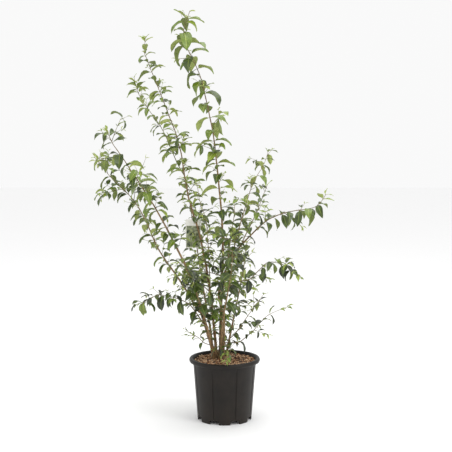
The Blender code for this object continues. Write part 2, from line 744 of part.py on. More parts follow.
def make_root_crown(stems):
    """The short woody foot: a low burl with the start of every main stem, cut flat on the soil."""
    ground = PLANT_FOOT.z + GAP
    burl = Line([PLANT_FOOT + Vector((0, 0, height)) for _, height in BURL_ROWS])
    widths = dict(zip(burl.marks, (BURL_RADIUS * share for share, _ in BURL_ROWS)))
    crown = add_object("root_crown", tube(burl, widths.get, BURL_SIDES), BARK)
    starts = []
    for line, radius_at in stems.values():
        foot = line.at(0) - line.direction(0) * BURIED
        start = Line([foot, *line.part(0, CROWN_LENGTH).points])
        starts.append(tube(start, radius_at, LIMB_SIDES))
    union(crown, starts, BARK)
    shape = bmesh.new()
    shape.from_mesh(crown.data)
    everything = shape.verts[:] + shape.edges[:] + shape.faces[:]
    cut = bmesh.ops.bisect_plane(shape, geom=everything, dist=1e-7, plane_co=(0, 0, ground),
                                 plane_no=(0, 0, 1), clear_inner=True)
    rim = [e for e in cut["geom_cut"] if isinstance(e, bmesh.types.BMEdge)]
    bmesh.ops.contextual_create(shape, geom=rim)
    bmesh.ops.recalc_face_normals(shape, faces=shape.faces)
    shape.to_mesh(crown.data)
    shape.free()
    return crown


def shape_of(thing):
    return [v.co.copy() for v in thing.data.vertices], [tuple(p.vertices) for p in thing.data.polygons]


def make_limb(name, line, radius_at, facing):
    """The bare stretch of a stem."""
    limb = add_object(name, tube(line, radius_at, LIMB_SIDES, facing=facing), BARK)
    limb.data.shade_smooth()
    return limb


def make_mass(name, stem, leaves, twigs, taken):
    """A leafy mass: its stem, and each twig and leaf that keeps clear of the limbs and other masses."""
    kept, own = [], Taken()
    own.add("stem", stem)
    borne = list(leaves)
    for twig, radius, its_leaves in twigs:
        shape = tube(twig, stem_radius(radius, twig.length), TWIG_SIDES, TWIG_SWELL, pointed=True)
        if taken.free(shape, skip=(name,)) and own.free(shape, skip=("stem",)):
            kept.append(shape)
            own.add("twig", shape)
            borne += its_leaves
    for leaf in borne:
        blade = leaf_solid(leaf, LEAF_NECK)
        if taken.free(leaf_solid(leaf, -ROOT_SINK), skip=(name,)) and own.free(blade):
            own.add("leaf", blade)
            kept.append(leaf_solid(leaf, -ROOT_SINK))
    for shape in kept:
        taken.add(name, shape)
    mass = add_object(name, stem, LEAVES)
    union(mass, kept, LEAVES)


def spray_path(line, s, angle, rng):
    """Places on a short spray that leaves a limb at an angle round +Z, and arches."""
    length = rng.uniform(*SIDE_SPRAY_LENGTH)
    heading = Vector((math.cos(angle), math.sin(angle), rng.uniform(*SIDE_SPRAY_RISE))).normalized()
    sag = rng.uniform(0.08, 0.3)
    return [line.at(s) + heading * length * t - UP * length * sag * t * t for t in (0.25, 0.5, 0.75, 1.0)]


def part_of(stem, start, end):
    """A stretch of a stem: its line, and its radius by the length along that line."""
    line, radius_at = stem
    return line.part(start, end), lambda s: radius_at(start + s)


def stem_shape(stem, facing):
    line, radius_at = stem
    return tube(line, radius_at, STEM_SIDES, STEM_SWELL, facing, pointed=True)


def leaving_stem(line, share, spec, bark, rng):
    """A stem that leaves a limb's side at a share of its length, with the way its foot faces."""
    places, facing = leave_from(line, share * line.length, spec["path"], bark)
    leaving = smooth_line(places, LINE_STEP, rng)
    return (leaving, stem_radius(spec["radius"], leaving.length)), facing


def bare_limb(name, stems, spec, start, facing, taken):
    """Makes a stem's bare limb, and returns the leafy rest of the stem."""
    stem = stems[name]
    length = stem[0].length
    end = spec["bare"] * length
    limb = make_limb(name + "_stem", *part_of(stem, start, end), facing)
    taken.add(limb.name, shape_of(limb))
    return part_of(stem, end + GAP, length)


def side_sprays(on, line, taken):
    """Short sprays up a bare limb, each turned on until it has room. Yields name, stem, facing and spec."""
    rng = rng_for(on + " sprays")
    count, low, high = SIDE_SPRAYS[on]
    angle = rng.uniform(0, TURN)
    for i in range(count):
        share = low + (high - low) * (i + 0.5) / count
        for _ in range(SPRAY_TRIES):
            angle += GOLDEN_ANGLE
            spec = SIDE_SPRAY | {"path": spray_path(line, share * line.length, angle, rng)}
            spray, facing = leaving_stem(line, share, spec, taken.bark(on), rng)
            past_collar = stem_shape(part_of(spray, COLLAR * 3, spray[0].length), None)
            if taken.free(stem_shape(spray, facing), skip=(on + "_stem",)) and taken.free(past_collar):
                yield f"{on}_spray_{i + 1}", spray, facing, spec
                break


def main():
    clear_scene()
    taken = Taken()
    for made in (make_pot(), make_soil()):
        taken.add(made.name, shape_of(made))

    stems, masses = {}, {}
    for name, spec in STEMS.items():
        line = smooth_line(spec["path"], LINE_STEP, rng_for(name))
        stems[name] = (line, stem_radius(spec["radius"], line.length, FLARE))
    taken.add("root_crown", shape_of(make_root_crown(stems)))
    for name, spec in STEMS.items():
        leafy = bare_limb(name, stems, spec, CROWN_LENGTH + GAP, None, taken)
        masses[name + "_foliage"] = (leafy, None, spec)
    for name, spec in SIDE_LIMBS.items():
        on = spec["on"]
        stems[name], facing = leaving_stem(stems[on][0], spec["at"], spec, taken.bark(on), rng_for(name))
        masses[name + "_foliage"] = (bare_limb(name, stems, spec, 0.0, facing, taken), None, spec)
    for name, spec in SHOOTS.items():
        on = spec["on"]
        stem, facing = leaving_stem(stems[on][0], spec["at"], spec, taken.bark(on), rng_for(name))
        masses[name + "_foliage"] = (stem, facing, spec)
    tag = make_tag(*stems["inner_left"], TAG_AT * stems["inner_left"][0].length)
    taken.add(tag.name, shape_of(tag))

    for name, (stem, facing, _) in masses.items():
        taken.add(name, stem_shape(stem, facing))
    for on in SIDE_SPRAYS:
        for name, stem, facing, spec in side_sprays(on, stems[on][0], taken):
            taken.add(name, stem_shape(stem, facing))
            masses[name] = (stem, facing, spec)
    for name, (stem, facing, spec) in masses.items():
        rng = rng_for(name)
        leaves, twigs = grow(stem[0], spec, rng)
        fork = FORKS.get(name.removesuffix("_foliage"))
        if fork:
            twigs.insert(0, forked(stem[0], fork, rng))
        make_mass(name, stem_shape(stem, facing), leaves, twigs, taken)


main()
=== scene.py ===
# A potted privet: its stems, twigs and leaves grown by the rule of its solids, in a black nursery pot
import json
import math
import random

import bmesh
import bpy
import numpy as np
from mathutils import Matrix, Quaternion, Vector, noise
from mathutils.bvhtree import BVHTree

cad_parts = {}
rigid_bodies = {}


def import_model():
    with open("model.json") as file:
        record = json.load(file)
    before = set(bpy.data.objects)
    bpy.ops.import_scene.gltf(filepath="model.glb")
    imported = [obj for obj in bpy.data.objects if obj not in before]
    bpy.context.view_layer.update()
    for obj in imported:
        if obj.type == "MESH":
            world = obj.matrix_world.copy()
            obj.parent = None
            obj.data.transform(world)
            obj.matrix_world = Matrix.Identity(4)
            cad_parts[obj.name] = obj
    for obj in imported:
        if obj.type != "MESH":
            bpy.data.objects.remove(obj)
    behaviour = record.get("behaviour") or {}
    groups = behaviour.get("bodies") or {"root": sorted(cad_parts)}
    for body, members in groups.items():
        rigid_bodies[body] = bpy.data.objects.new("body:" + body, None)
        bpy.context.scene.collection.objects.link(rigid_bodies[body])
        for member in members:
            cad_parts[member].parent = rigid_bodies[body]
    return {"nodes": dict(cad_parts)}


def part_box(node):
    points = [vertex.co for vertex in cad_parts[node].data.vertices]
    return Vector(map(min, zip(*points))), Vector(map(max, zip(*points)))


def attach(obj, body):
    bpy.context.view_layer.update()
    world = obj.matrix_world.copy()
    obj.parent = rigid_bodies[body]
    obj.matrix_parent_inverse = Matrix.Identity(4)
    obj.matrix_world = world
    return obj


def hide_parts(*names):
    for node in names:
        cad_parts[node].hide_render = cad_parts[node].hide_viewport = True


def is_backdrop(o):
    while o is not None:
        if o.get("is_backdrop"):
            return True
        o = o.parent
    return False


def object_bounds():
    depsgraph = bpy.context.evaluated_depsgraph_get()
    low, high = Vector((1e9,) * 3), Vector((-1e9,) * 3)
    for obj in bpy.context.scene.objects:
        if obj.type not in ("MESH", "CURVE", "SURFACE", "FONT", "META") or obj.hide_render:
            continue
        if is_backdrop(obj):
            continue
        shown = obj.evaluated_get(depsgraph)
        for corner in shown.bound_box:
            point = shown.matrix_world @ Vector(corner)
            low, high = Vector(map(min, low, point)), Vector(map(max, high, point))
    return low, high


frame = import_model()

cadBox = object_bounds()

# The rule of growth: metres, +Z up, +Y away from the viewer
gap = 0.0003
fullTurn = 2 * math.pi
zUp = Vector((0, 0, 1))
crownLength = 0.050  # of each stem inside the root crown
footFlare = 0.45  # how much wider a stem is at the soil
flareLength = 0.022
lineStep = 0.044  # between the rings of a limb
stemWander = 0.0012  # how far a stem strays at each ring
stemTaper = 1.3
leafWidth = 0.54  # of its length
leafThickness = 0.03
leafWidest = 0.44  # where along it a leaf is widest
rootSink = 0.0004  # how far a leaf's root lies past the middle of its twig
leafOpening = (math.radians(26), math.radians(44), math.radians(9))  # bud, ripe leaf adds, strays
leafCurl = (math.radians(20), math.radians(60), math.radians(22))  # the same, root to tip
leafRoll = math.radians(24)
leafLift = 0.22  # upward share of a leaf's heading
leafNeck = 0.0055  # of a leaf's root that isn't tested against its own twig
youngLength = 0.11  # of a shoot's tip, where leaves are younger and smaller
firstPair = 0.030
twigRadius = (0.0015, 0.0007)
twigPieces = 2
twigForm = {"along": 0.55, "side": 1.0, "rise": 0.15, "sag": (0.05, 0.22)}  # shares of its heading
twigSides = 3
twigSwell = 1.45  # a three-sided twig's corner against the round twig's radius
stemSides = 4
stemSwell = 1.2
clearance = 0.0008  # kept between a piece's points and other masses or limbs
shortPiece = 0.004  # a stretch of a stem gets no joint nearer than this to its ends
sideSprayLength = (0.11, 0.18)
sideSprayRise = (0.25, 0.9)  # upward share of its heading
sprayTries = 12
collarLength = 0.004  # how far a side shoot stands straight out of its limb
goldenAngle = math.radians(137.5)

mainStems = {
    "leader": {
        "path": ((-0.016, 0.044, 0.239), (-0.014, 0.040, 0.47), (-0.008, 0.032, 0.72),
                 (-0.035, 0.034, 1.06), (-0.066, 0.040, 1.233), (-0.100, 0.046, 1.362),
                 (-0.153, 0.050, 1.476), (-0.158, 0.050, 1.525), (-0.134, 0.052, 1.604)),
        "radius": (0.0062, 0.0011), "bare": 0.33, "leaf": (0.070, 0.104), "pitch": 0.049,
        "twigs": (4, 0.30, 0.86, 0.09), "hang": 0.8,
    },
    "inner_left": {
        "path": ((-0.032, 0.036, 0.239), (-0.052, 0.040, 0.45), (-0.090, 0.047, 0.69),
                 (-0.143, 0.068, 0.88), (-0.183, 0.105, 1.09), (-0.266, 0.155, 1.31),
                 (-0.322, 0.205, 1.45), (-0.321, 0.222, 1.51)),
        "radius": (0.0060, 0.0010), "bare": 0.43, "leaf": (0.066, 0.072), "pitch": 0.050,
        "twigs": (2, 0.05, 0.40, 0.10),
    },
    "outer_left": {
        "path": ((-0.034, 0.018, 0.239), (-0.084, -0.016, 0.403), (-0.136, -0.055, 0.585),
                 (-0.249, -0.115, 0.825), (-0.353, -0.172, 1.004), (-0.413, -0.204, 1.100),
                 (-0.434, -0.220, 1.150)),
        "radius": (0.0072, 0.0012), "bare": 0.42, "leaf": (0.064, 0.080), "pitch": 0.045,
        "twigs": (4, 0.35, 0.98, 0.10), "hang": 0.9,
    },
    "right_arch": {
        "path": ((-0.006, 0.022, 0.239), (-0.004, 0.010, 0.40), (-0.022, -0.002, 0.50),
                 (0.006, -0.008, 0.60), (0.068, -0.022, 0.70), (0.173, -0.055, 0.803),
                 (0.270, -0.082, 0.838), (0.345, -0.110, 0.855), (0.383, -0.135, 0.905)),
        "radius": (0.0068, 0.0010), "bare": 0.62, "leaf": (0.066, 0.082), "pitch": 0.036,
        "twigs": (2, 0.10, 0.60, 0.07), "hang": 1.2,
    },
    "back": {
        "path": ((-0.020, 0.056, 0.239), (-0.012, 0.125, 0.44), (0.020, 0.220, 0.65),
                 (0.042, 0.330, 0.81), (0.040, 0.385, 0.83)),
        "radius": (0.0052, 0.0010), "bare": 0.36, "leaf": (0.066, 0.070), "pitch": 0.049,
        "twigs": (2, 0.15, 0.80, 0.12),
    },
    "back_left": {
        "path": ((-0.042, 0.052, 0.239), (-0.075, 0.115, 0.44), (-0.115, 0.215, 0.66),
                 (-0.150, 0.300, 0.86), (-0.165, 0.350, 0.93)),
        "radius": (0.0050, 0.0010), "bare": 0.36, "leaf": (0.062, 0.066), "pitch": 0.051,
        "twigs": (2, 0.15, 0.80, 0.12),
    },
    "front": {
        "path": ((-0.016, 0.004, 0.239), (-0.004, -0.085, 0.42), (0.020, -0.190, 0.58),
                 (0.030, -0.290, 0.70), (0.022, -0.355, 0.72)),
        "radius": (0.0050, 0.0010), "bare": 0.34, "leaf": (0.066, 0.068), "pitch": 0.049,
        "twigs": (2, 0.15, 0.80, 0.11),
    },
    "front_left": {
        "path": ((-0.042, 0.000, 0.239), (-0.072, -0.075, 0.40), (-0.112, -0.175, 0.55),
                 (-0.150, -0.265, 0.66), (-0.175, -0.315, 0.67)),
        "radius": (0.0048, 0.0010), "bare": 0.34, "leaf": (0.062, 0.064), "pitch": 0.049,
        "twigs": (2, 0.10, 0.80, 0.10),
    },
    "back_right": {
        "path": ((0.006, 0.046, 0.239), (0.040, 0.120, 0.40), (0.075, 0.215, 0.55),
                 (0.092, 0.300, 0.66), (0.100, 0.345, 0.67)),
        "radius": (0.0046, 0.0010), "bare": 0.36, "leaf": (0.060, 0.060), "pitch": 0.050,
        "twigs": (2, 0.10, 0.80, 0.10),
    },
}

sideLimbs = {
    "far_left": {
        "on": "outer_left", "at": 0.20,
        "path": ((-0.176, -0.012, 0.557), (-0.263, 0.030, 0.680), (-0.347, 0.085, 0.842),
                 (-0.459, 0.127, 0.957), (-0.522, 0.155, 1.030)),
        "radius": (0.0042, 0.0010), "bare": 0.24, "leaf": (0.062, 0.066), "pitch": 0.048,
        "twigs": (4, 0.35, 0.95, 0.10),
    },
}

leafyShoots = {
    "middle": {
        "on": "inner_left", "at": 0.17,
        "path": ((-0.061, 0.000, 0.640), (-0.072, -0.026, 0.788), (-0.096, -0.072, 0.882),
                 (-0.106, -0.115, 0.950)),
        "radius": (0.0024, 0.0008), "leaf": (0.052, 0.046), "pitch": 0.047,
        "twigs": (2, 0.30, 0.80, 0.08),
    },
    "right_upper": {
        "on": "right_arch", "at": 0.47,
        "path": ((0.066, 0.040, 0.790), (0.084, 0.086, 0.838), (0.116, 0.145, 0.930),
                 (0.155, 0.196, 0.990), (0.178, 0.222, 1.052)),
        "radius": (0.0026, 0.0008), "leaf": (0.056, 0.066), "pitch": 0.044,
        "twigs": (2, 0.45, 0.95, 0.08), "hang": 0.9,
    },
    "right_inner": {
        "on": "right_arch", "at": 0.555,
        "path": ((0.111, -0.082, 0.806), (0.134, -0.130, 0.868), (0.158, -0.195, 0.945)),
        "radius": (0.0022, 0.0008), "leaf": (0.052, 0.050), "pitch": 0.041,
        "twigs": (1, 0.30, 0.80, 0.07),
    },
    "right_middle": {
        "on": "right_arch", "at": 0.285,
        "path": ((0.040, -0.052, 0.555), (0.098, -0.088, 0.575), (0.165, -0.133, 0.645),
                 (0.235, -0.172, 0.635), (0.285, -0.196, 0.600)),
        "radius": (0.0028, 0.0008), "leaf": (0.060, 0.060), "pitch": 0.041,
        "twigs": (3, 0.10, 0.90, 0.08), "hang": 0.8,
    },
    "left_low": {
        "on": "outer_left", "at": 0.155,
        "path": ((-0.142, -0.076, 0.478), (-0.190, -0.108, 0.504), (-0.246, -0.132, 0.520),
                 (-0.283, -0.156, 0.512), (-0.318, -0.175, 0.490)),
        "radius": (0.0028, 0.0008), "leaf": (0.060, 0.066), "pitch": 0.042,
        "twigs": (2, 0.30, 0.95, 0.07), "hang": 0.8,
    },
    "right_low": {
        "on": "right_arch", "at": 0.07,
        "path": ((0.053, -0.015, 0.310), (0.111, -0.055, 0.364), (0.165, -0.092, 0.432),
                 (0.240, -0.118, 0.470)),
        "radius": (0.0022, 0.0008), "leaf": (0.050, 0.054), "pitch": 0.045,
        "twigs": (1, 0.30, 0.80, 0.07),
    },
    "right_low_back": {
        "on": "back_right", "at": 0.14,
        "path": ((0.055, 0.060, 0.345), (0.103, 0.110, 0.405), (0.160, 0.165, 0.470)),
        "radius": (0.0022, 0.0008), "leaf": (0.050, 0.046), "pitch": 0.043,
        "twigs": (2, 0.30, 0.90, 0.07),
    },
    "left_lowest": {
        "on": "front_left", "at": 0.13,
        "path": ((-0.082, -0.036, 0.315), (-0.107, -0.060, 0.343), (-0.138, -0.082, 0.352)),
        "radius": (0.0018, 0.0008), "leaf": (0.040, 0.038), "pitch": 0.029,
        "twigs": (1, 0.30, 0.80, 0.05),
    },
    "over_the_rim": {
        "on": "front", "at": 0.13,
        "path": ((0.022, -0.044, 0.298), (0.022, -0.092, 0.296), (0.006, -0.150, 0.268)),
        "radius": (0.0018, 0.0008), "leaf": (0.042, 0.050), "pitch": 0.031,
        "twigs": (1, 0.30, 0.80, 0.045),
    },
}

longForks = {
    "inner_left": {
        "height": 0.930,
        "path": ((-0.190, 0.178, 1.001), (-0.251, 0.240, 1.134), (-0.321, 0.280, 1.232),
                 (-0.362, 0.305, 1.300), (-0.377, 0.330, 1.355)),
        "radius": (0.0024, 0.0009), "leaf": (0.060, 0.066), "pitch": 0.045,
    },
}

limbSprays = {
    "leader": (4, 0.11, 0.31),
    "inner_left": (4, 0.09, 0.39),
    "outer_left": (3, 0.13, 0.38),
    "right_arch": (4, 0.16, 0.60),
}
spraySpec = {
    "radius": (0.0021, 0.0008), "leaf": (0.060, 0.060), "pitch": 0.043,
    "twigs": (1, 0.20, 0.60, 0.07),
}


class Line:

    def __init__(self, points):
        self.points = points
        self.marks = [0.0]
        for a, b in zip(points, points[1:]):
            self.marks.append(self.marks[-1] + (b - a).length)
        self.length = self.marks[-1]

    def segment(self, s):
        for i in range(len(self.points) - 2):
            if s < self.marks[i + 1]:
                return i
        return len(self.points) - 2

    def at(self, s):
        i = self.segment(s)
        share = (s - self.marks[i]) / (self.marks[i + 1] - self.marks[i])
        return self.points[i].lerp(self.points[i + 1], share)

    def direction(self, s):
        i = self.segment(s)
        return (self.points[i + 1] - self.points[i]).normalized()

    def part(self, start, end):
        inner = [p for p, m in zip(self.points, self.marks) if start + shortPiece < m < end - shortPiece]
        return Line([self.at(start), *inner, self.at(end)])


def smoothLine(places, step, rng=None):  # a curve through the places, straying a little where rng is given
    places = [Vector(p) for p in places]
    ends = [2 * places[0] - places[1], *places, 2 * places[-1] - places[-2]]
    points = [places[0]]
    for p0, p1, p2, p3 in zip(ends, ends[1:], ends[2:], ends[3:]):
        count = max(1, round((p2 - p1).length / step))
        for i in range(1, count + 1):
            t = i / count
            slopeIn, slopeOut = (p2 - p0) / 2, (p3 - p1) / 2
            point = (p1 * (2 * t**3 - 3 * t**2 + 1) + slopeIn * (t**3 - 2 * t**2 + t)
                     + p2 * (3 * t**2 - 2 * t**3) + slopeOut * (t**3 - t**2))
            if rng:
                point += Vector((rng.uniform(-1, 1), rng.uniform(-1, 1), 0)) * stemWander
            points.append(point)
    return Line(points)


def tube(line, radiusAt, sides, swell=1.0, facing=None, pointed=False):
    points, faces, rings = [], [], []
    count = len(line.points)
    normal = facing or line.direction(0)
    across = normal.orthogonal().normalized()
    for i, (middle, mark) in enumerate(zip(line.points, line.marks)):
        if pointed and i == count - 1:
            points.append(middle)
            rings.append([len(points) - 1])
            break
        before = line.points[i] - line.points[i - 1] if i else None
        after = line.points[i + 1] - line.points[i] if i < count - 1 else None
        if i == 0:
            heading = normal
        elif after is None:
            heading = before.normalized()
        else:
            heading = (before.normalized() + after.normalized()).normalized()
        across = (across - heading * across.dot(heading)).normalized()
        side = heading.cross(across)
        radius = radiusAt(mark) * swell
        ring = []
        for k in range(sides):
            angle = fullTurn * k / sides
            points.append(middle + (across * math.cos(angle) + side * math.sin(angle)) * radius)
            ring.append(len(points) - 1)
        rings.append(ring)
    faces.append(tuple(reversed(rings[0])))
    for low, high in zip(rings, rings[1:]):
        for k in range(sides):
            after = (k + 1) % sides
            if len(high) == 1:
                faces.append((low[k], low[after], high[0]))
            else:
                faces.append((low[k], low[after], high[after], high[k]))
    if not pointed:
        faces.append(tuple(rings[-1]))
    return points, faces


def stemRadius(radius, length, flare=0.0):
    foot, tip = radius

    def at(s):
        left = max(1 - s / length, 0.0)
        return (tip + (foot - tip) * left**stemTaper) * (1 + flare * math.exp(-s / flareLength))

    return at


def leafPoint(leaf, share):
    curl = leaf["curl"]
    run = math.sin(curl * share) / curl
    drop = (1 - math.cos(curl * share)) / curl
    return leaf["root"] + (leaf["out"] * run - leaf["face"] * drop) * leaf["size"]


def leafSolid(leaf, rootShift):
    face = Quaternion(leaf["across"], -leaf["curl"] * leafWidest) @ leaf["face"]
    middle = leafPoint(leaf, leafWidest)
    half = leaf["across"] * leaf["size"] * leafWidth / 2
    points = [
        leaf["root"] + leaf["out"] * rootShift,
        middle + half,
        middle - half,
        leafPoint(leaf, 1.0),
        middle - face * leaf["size"] * leafThickness,
    ]
    root, left, right, tip, keel = range(5)
    faces = [(root, left, right), (tip, right, left), (root, keel, left), (root, right, keel),
             (tip, left, keel), (tip, keel, right)]
    return points, faces


def axesRound(along):
    level = along.cross(zUp)
    level = level.normalized() if level.length > 0.05 else Vector((1, 0, 0))
    return level, level.cross(along).normalized()


def makeLeaf(line, s, angle, size, ripeness, hang, rng):
    along = line.direction(s)
    level, upward = axesRound(along)
    flat = 1 - 0.55 * (1 - abs(along.z))
    side = (level * math.cos(angle) + upward * math.sin(angle) * flat).normalized()
    opening = leafOpening[0] + leafOpening[1] * ripeness + rng.uniform(-1, 1) * leafOpening[2]
    out = along * math.cos(opening) + side * math.sin(opening) + zUp * (leafLift - hang) * ripeness
    out.normalize()
    across = out.cross(zUp)
    across = across.normalized() if across.length > 0.2 else level
    across = Quaternion(out, rng.uniform(-leafRoll, leafRoll)) @ across
    across = (across - out * across.dot(out)).normalized()
    return {
        "rank": 0,  # where two leaves would cross, the one of lower rank stays
        "root": line.at(s),
        "out": out,
        "across": across,
        "face": across.cross(out).normalized(),
        "ripeness": ripeness,
        "curl": leafCurl[0] + leafCurl[1] * ripeness + rng.uniform(-0.6, 1) * leafCurl[2],
        "size": size * rng.uniform(0.86, 1.1),
    }


def leafPairs(line, first, sizes, pitch, hang, rng, young=youngLength):
    leaves = []
    angle = rng.uniform(0, fullTurn)
    s = first
    while s < line.length - 0.25 * pitch:
        share = s / line.length
        ripeness = min(1.0, 0.12 + (line.length - s) / young)
        size = (sizes[0] + (sizes[1] - sizes[0]) * share) * (0.42 + 0.58 * ripeness)
        for halfTurn in (0, math.pi):
            leaves.append(makeLeaf(line, s, angle + halfTurn, size, ripeness, hang * share, rng))
        angle += math.pi / 2 + rng.uniform(-0.3, 0.3)
        s += pitch * rng.uniform(0.86, 1.14) * (0.55 + 0.45 * ripeness)
    return leaves


def sideTwig(line, s, angle, length, form, rng):
    along = line.direction(s)
    level, upward = axesRound(along)
    side = level * math.cos(angle) + upward * math.sin(angle)
    heading = (along * form["along"] + side * form["side"] + zUp * form["rise"]).normalized()
    sag = rng.uniform(*form["sag"])
    shares = [i / twigPieces for i in range(twigPieces + 1)]
    return Line([line.at(s) + heading * length * t - zUp * length * sag * t * t for t in shares])


def forked(line, fork, rng):
    s = next(m for p, m in zip(line.points, line.marks) if p.z > fork["height"])
    forkLine = smoothLine([line.at(s), *fork["path"]], lineStep, rng)
    return forkLine, fork["radius"], leafPairs(forkLine, firstPair, fork["leaf"], fork["pitch"], 0, rng)


def grow(line, spec, rng):
    hang = spec.get("hang", 0)
    leaves = leafPairs(line, firstPair, spec["leaf"], spec["pitch"], hang, rng)
    turn = rng.uniform(0, fullTurn)
    twigs = []
    count, low, high, usual = spec["twigs"]
    for i in range(count):
        share = low + (high - low) * (i + rng.uniform(0.2, 0.8)) / count
        length = usual * rng.uniform(0.7, 1.2)
        twig = sideTwig(line, share * line.length, turn + i * goldenAngle, length, twigForm, rng)
        small = spec["leaf"][0] * 0.92
        own = leafPairs(twig, 0.3 * length, (small, small), spec["pitch"] * 0.8, hang, rng)
        twigs.append((twig, twigRadius, own))
    return leaves, twigs


class Taken:  # what fills space already; a new piece is tested against what lies near it

    def __init__(self):
        self.names, self.trees = [], []
        self.middles = np.zeros((0, 3))
        self.reaches = np.zeros(0)

    def add(self, name, shape):
        middle, reach = self.ball(shape)
        self.names.append(name)
        self.trees.append(BVHTree.FromPolygons(*shape))
        self.middles = np.vstack((self.middles, middle))
        self.reaches = np.append(self.reaches, reach)

    def ball(self, shape):
        points = np.array(shape[0])
        middle = (points.min(0) + points.max(0)) / 2
        return middle, np.linalg.norm(points - middle, axis=1).max()

    def bark(self, stem):
        return self.trees[self.names.index(stem + "_stem")]

    def free(self, shape, skip=()):
        middle, reach = self.ball(shape)
        away = np.linalg.norm(self.middles - middle, axis=1)
        own = BVHTree.FromPolygons(*shape)
        for i in np.flatnonzero(away < self.reaches + reach + clearance):
            if self.names[i] in skip:
                continue
            if own.overlap(self.trees[i]):
                return False
            if any(self.trees[i].find_nearest(p, clearance)[0] is not None for p in shape[0]):
                return False
        return True


def leaveFrom(line, s, places, bark):
    middle, along = line.at(s), line.direction(s)
    way = Vector(places[0]) - middle
    side = (way - along * way.dot(along)).normalized()
    seat, facing, _, _ = bark.ray_cast(middle + side * collarLength * 5, -side)
    start = seat + facing * gap
    collar = start + (facing + along * 0.4) * collarLength
    return [start, collar, *places], facing


def rngFor(name):
    return random.Random("privet " + name)


def sprayPath(line, s, angle, rng):
    length = rng.uniform(*sideSprayLength)
    heading = Vector((math.cos(angle), math.sin(angle), rng.uniform(*sideSprayRise))).normalized()
    sag = rng.uniform(0.08, 0.3)
    return [line.at(s) + heading * length * t - zUp * length * sag * t * t for t in (0.25, 0.5, 0.75, 1.0)]


def partOf(stem, start, end):
    line, radiusAt = stem
    return line.part(start, end), lambda s: radiusAt(start + s)


def stemShape(stem, facing):
    line, radiusAt = stem
    return tube(line, radiusAt, stemSides, stemSwell, facing, pointed=True)


def leavingStem(line, share, spec, bark, rng):
    places, facing = leaveFrom(line, share * line.length, spec["path"], bark)
    leaving = smoothLine(places, lineStep, rng)
    return (leaving, stemRadius(spec["radius"], leaving.length)), facing


def sideSprays(on, line, taken):
    rng = rngFor(on + " sprays")
    count, low, high = limbSprays[on]
    angle = rng.uniform(0, fullTurn)
    for i in range(count):
        share = low + (high - low) * (i + 0.5) / count
        for _ in range(sprayTries):
            angle += goldenAngle
            spec = spraySpec | {"path": sprayPath(line, share * line.length, angle, rng)}
            spray, facing = leavingStem(line, share, spec, taken.bark(on), rng)
            pastCollar = stemShape(partOf(spray, collarLength * 3, spray[0].length), None)
            if taken.free(stemShape(spray, facing), skip=(on + "_stem",)) and taken.free(pastCollar):
                yield f"{on}_spray_{i + 1}", spray, facing, spec
                break


def shapeOf(thing):
    mesh = thing.data
    return [v.co.copy() for v in mesh.vertices], [tuple(p.vertices) for p in mesh.polygons]


# Finer twigs than the solids have: how many to a metre of stem, their usual length, their leaves' length
fineTwigs = {
    "leader": (32, 0.038, 0.074), "inner_left": (30, 0.032, 0.058), "outer_left": (38, 0.050, 0.062),
    "far_left": (32, 0.050, 0.058), "right_arch": (12, 0.032, 0.052), "right_upper": (22, 0.046, 0.050),
    "right_inner": (12, 0.046, 0.052), "right_middle": (13, 0.040, 0.052), "left_low": (26, 0.040, 0.052),
    "right_low": (5, 0.036, 0.050), "right_low_back": (4, 0.036, 0.048), "back_left": (28, 0.060, 0.054),
    "front_left": (28, 0.060, 0.054), "middle": (5, 0.050, 0.054), "spray": (12, 0.050, 0.054),
    "other": (12, 0.050, 0.054),
}
fineForm = {"along": 0.75, "side": 0.8, "rise": 0.3, "sag": (0.0, 0.2)}  # a narrower angle than the others
fineRadius = (0.0009, 0.0005)
finePitch = 0.026  # between the leaf pairs of a fine twig
fineYoung = 0.022  # its leaves are young within this of its tip
limbShoots = (40, 0.050, 0.044)  # the same for the bare limbs
lowestShoot = 0.252  # no leaf off a bare limb reaches lower
budAge = 0.25  # how open the last pair of a shoot is
budSizes = (0.030, 0.022, 0.017)  # length of the last pair on a stem, a twig and a fine twig
budMargin = 0.002  # inside the plant's box
pastReach = 0.022  # how far a fine twig's leaves may stand out of their solid's box


def fineSpec(name):
    if "_spray_" in name:
        return fineTwigs["spray"]
    return fineTwigs.get(name.removesuffix("_foliage"), fineTwigs["other"])


def inReach(shape, low, high):  # within the space of the mass's own solid
    points = np.array(shape[0])
    return bool((points > low).all() and (points < high).all())


def growMass(name, stem, facing, spec, taken):  # its twigs and leaves that keep clear of all else
    line = stem[0]
    rng = rngFor(name)
    leaves, twigs = grow(line, spec, rng)
    fork = longForks.get(name.removesuffix("_foliage"))
    if fork:
        twigs.insert(0, forked(line, fork, rng))
    own = Taken()
    own.add("stem", stemShape(stem, facing))
    kept = {"twigs": [], "leaves": []}
    shapes = []

    def tryTwig(twig, radius):
        shape = tube(twig, stemRadius(radius, twig.length), twigSides, twigSwell, pointed=True)
        if taken.free(shape, skip=(name,)) and own.free(shape, skip=("stem", "root")):
            own.add("twig", shape)
            shapes.append(shape)
            kept["twigs"].append((twig, radius))
            return True
        return False

    def tryLeaf(leaf):
        blade = leafSolid(leaf, leafNeck)
        if taken.free(leafSolid(leaf, -rootSink), skip=(name,)) and own.free(blade):
            own.add("leaf", blade)
            shapes.append(leafSolid(leaf, -rootSink))
            kept["leaves"].append(leaf)

    borne = list(leaves)
    for twig, radius, itsLeaves in twigs:
        if tryTwig(twig, radius):
            borne += itsLeaves
    for leaf in borne:
        tryLeaf(leaf)
    for shape in shapes:
        taken.add(name, shape)
    return kept


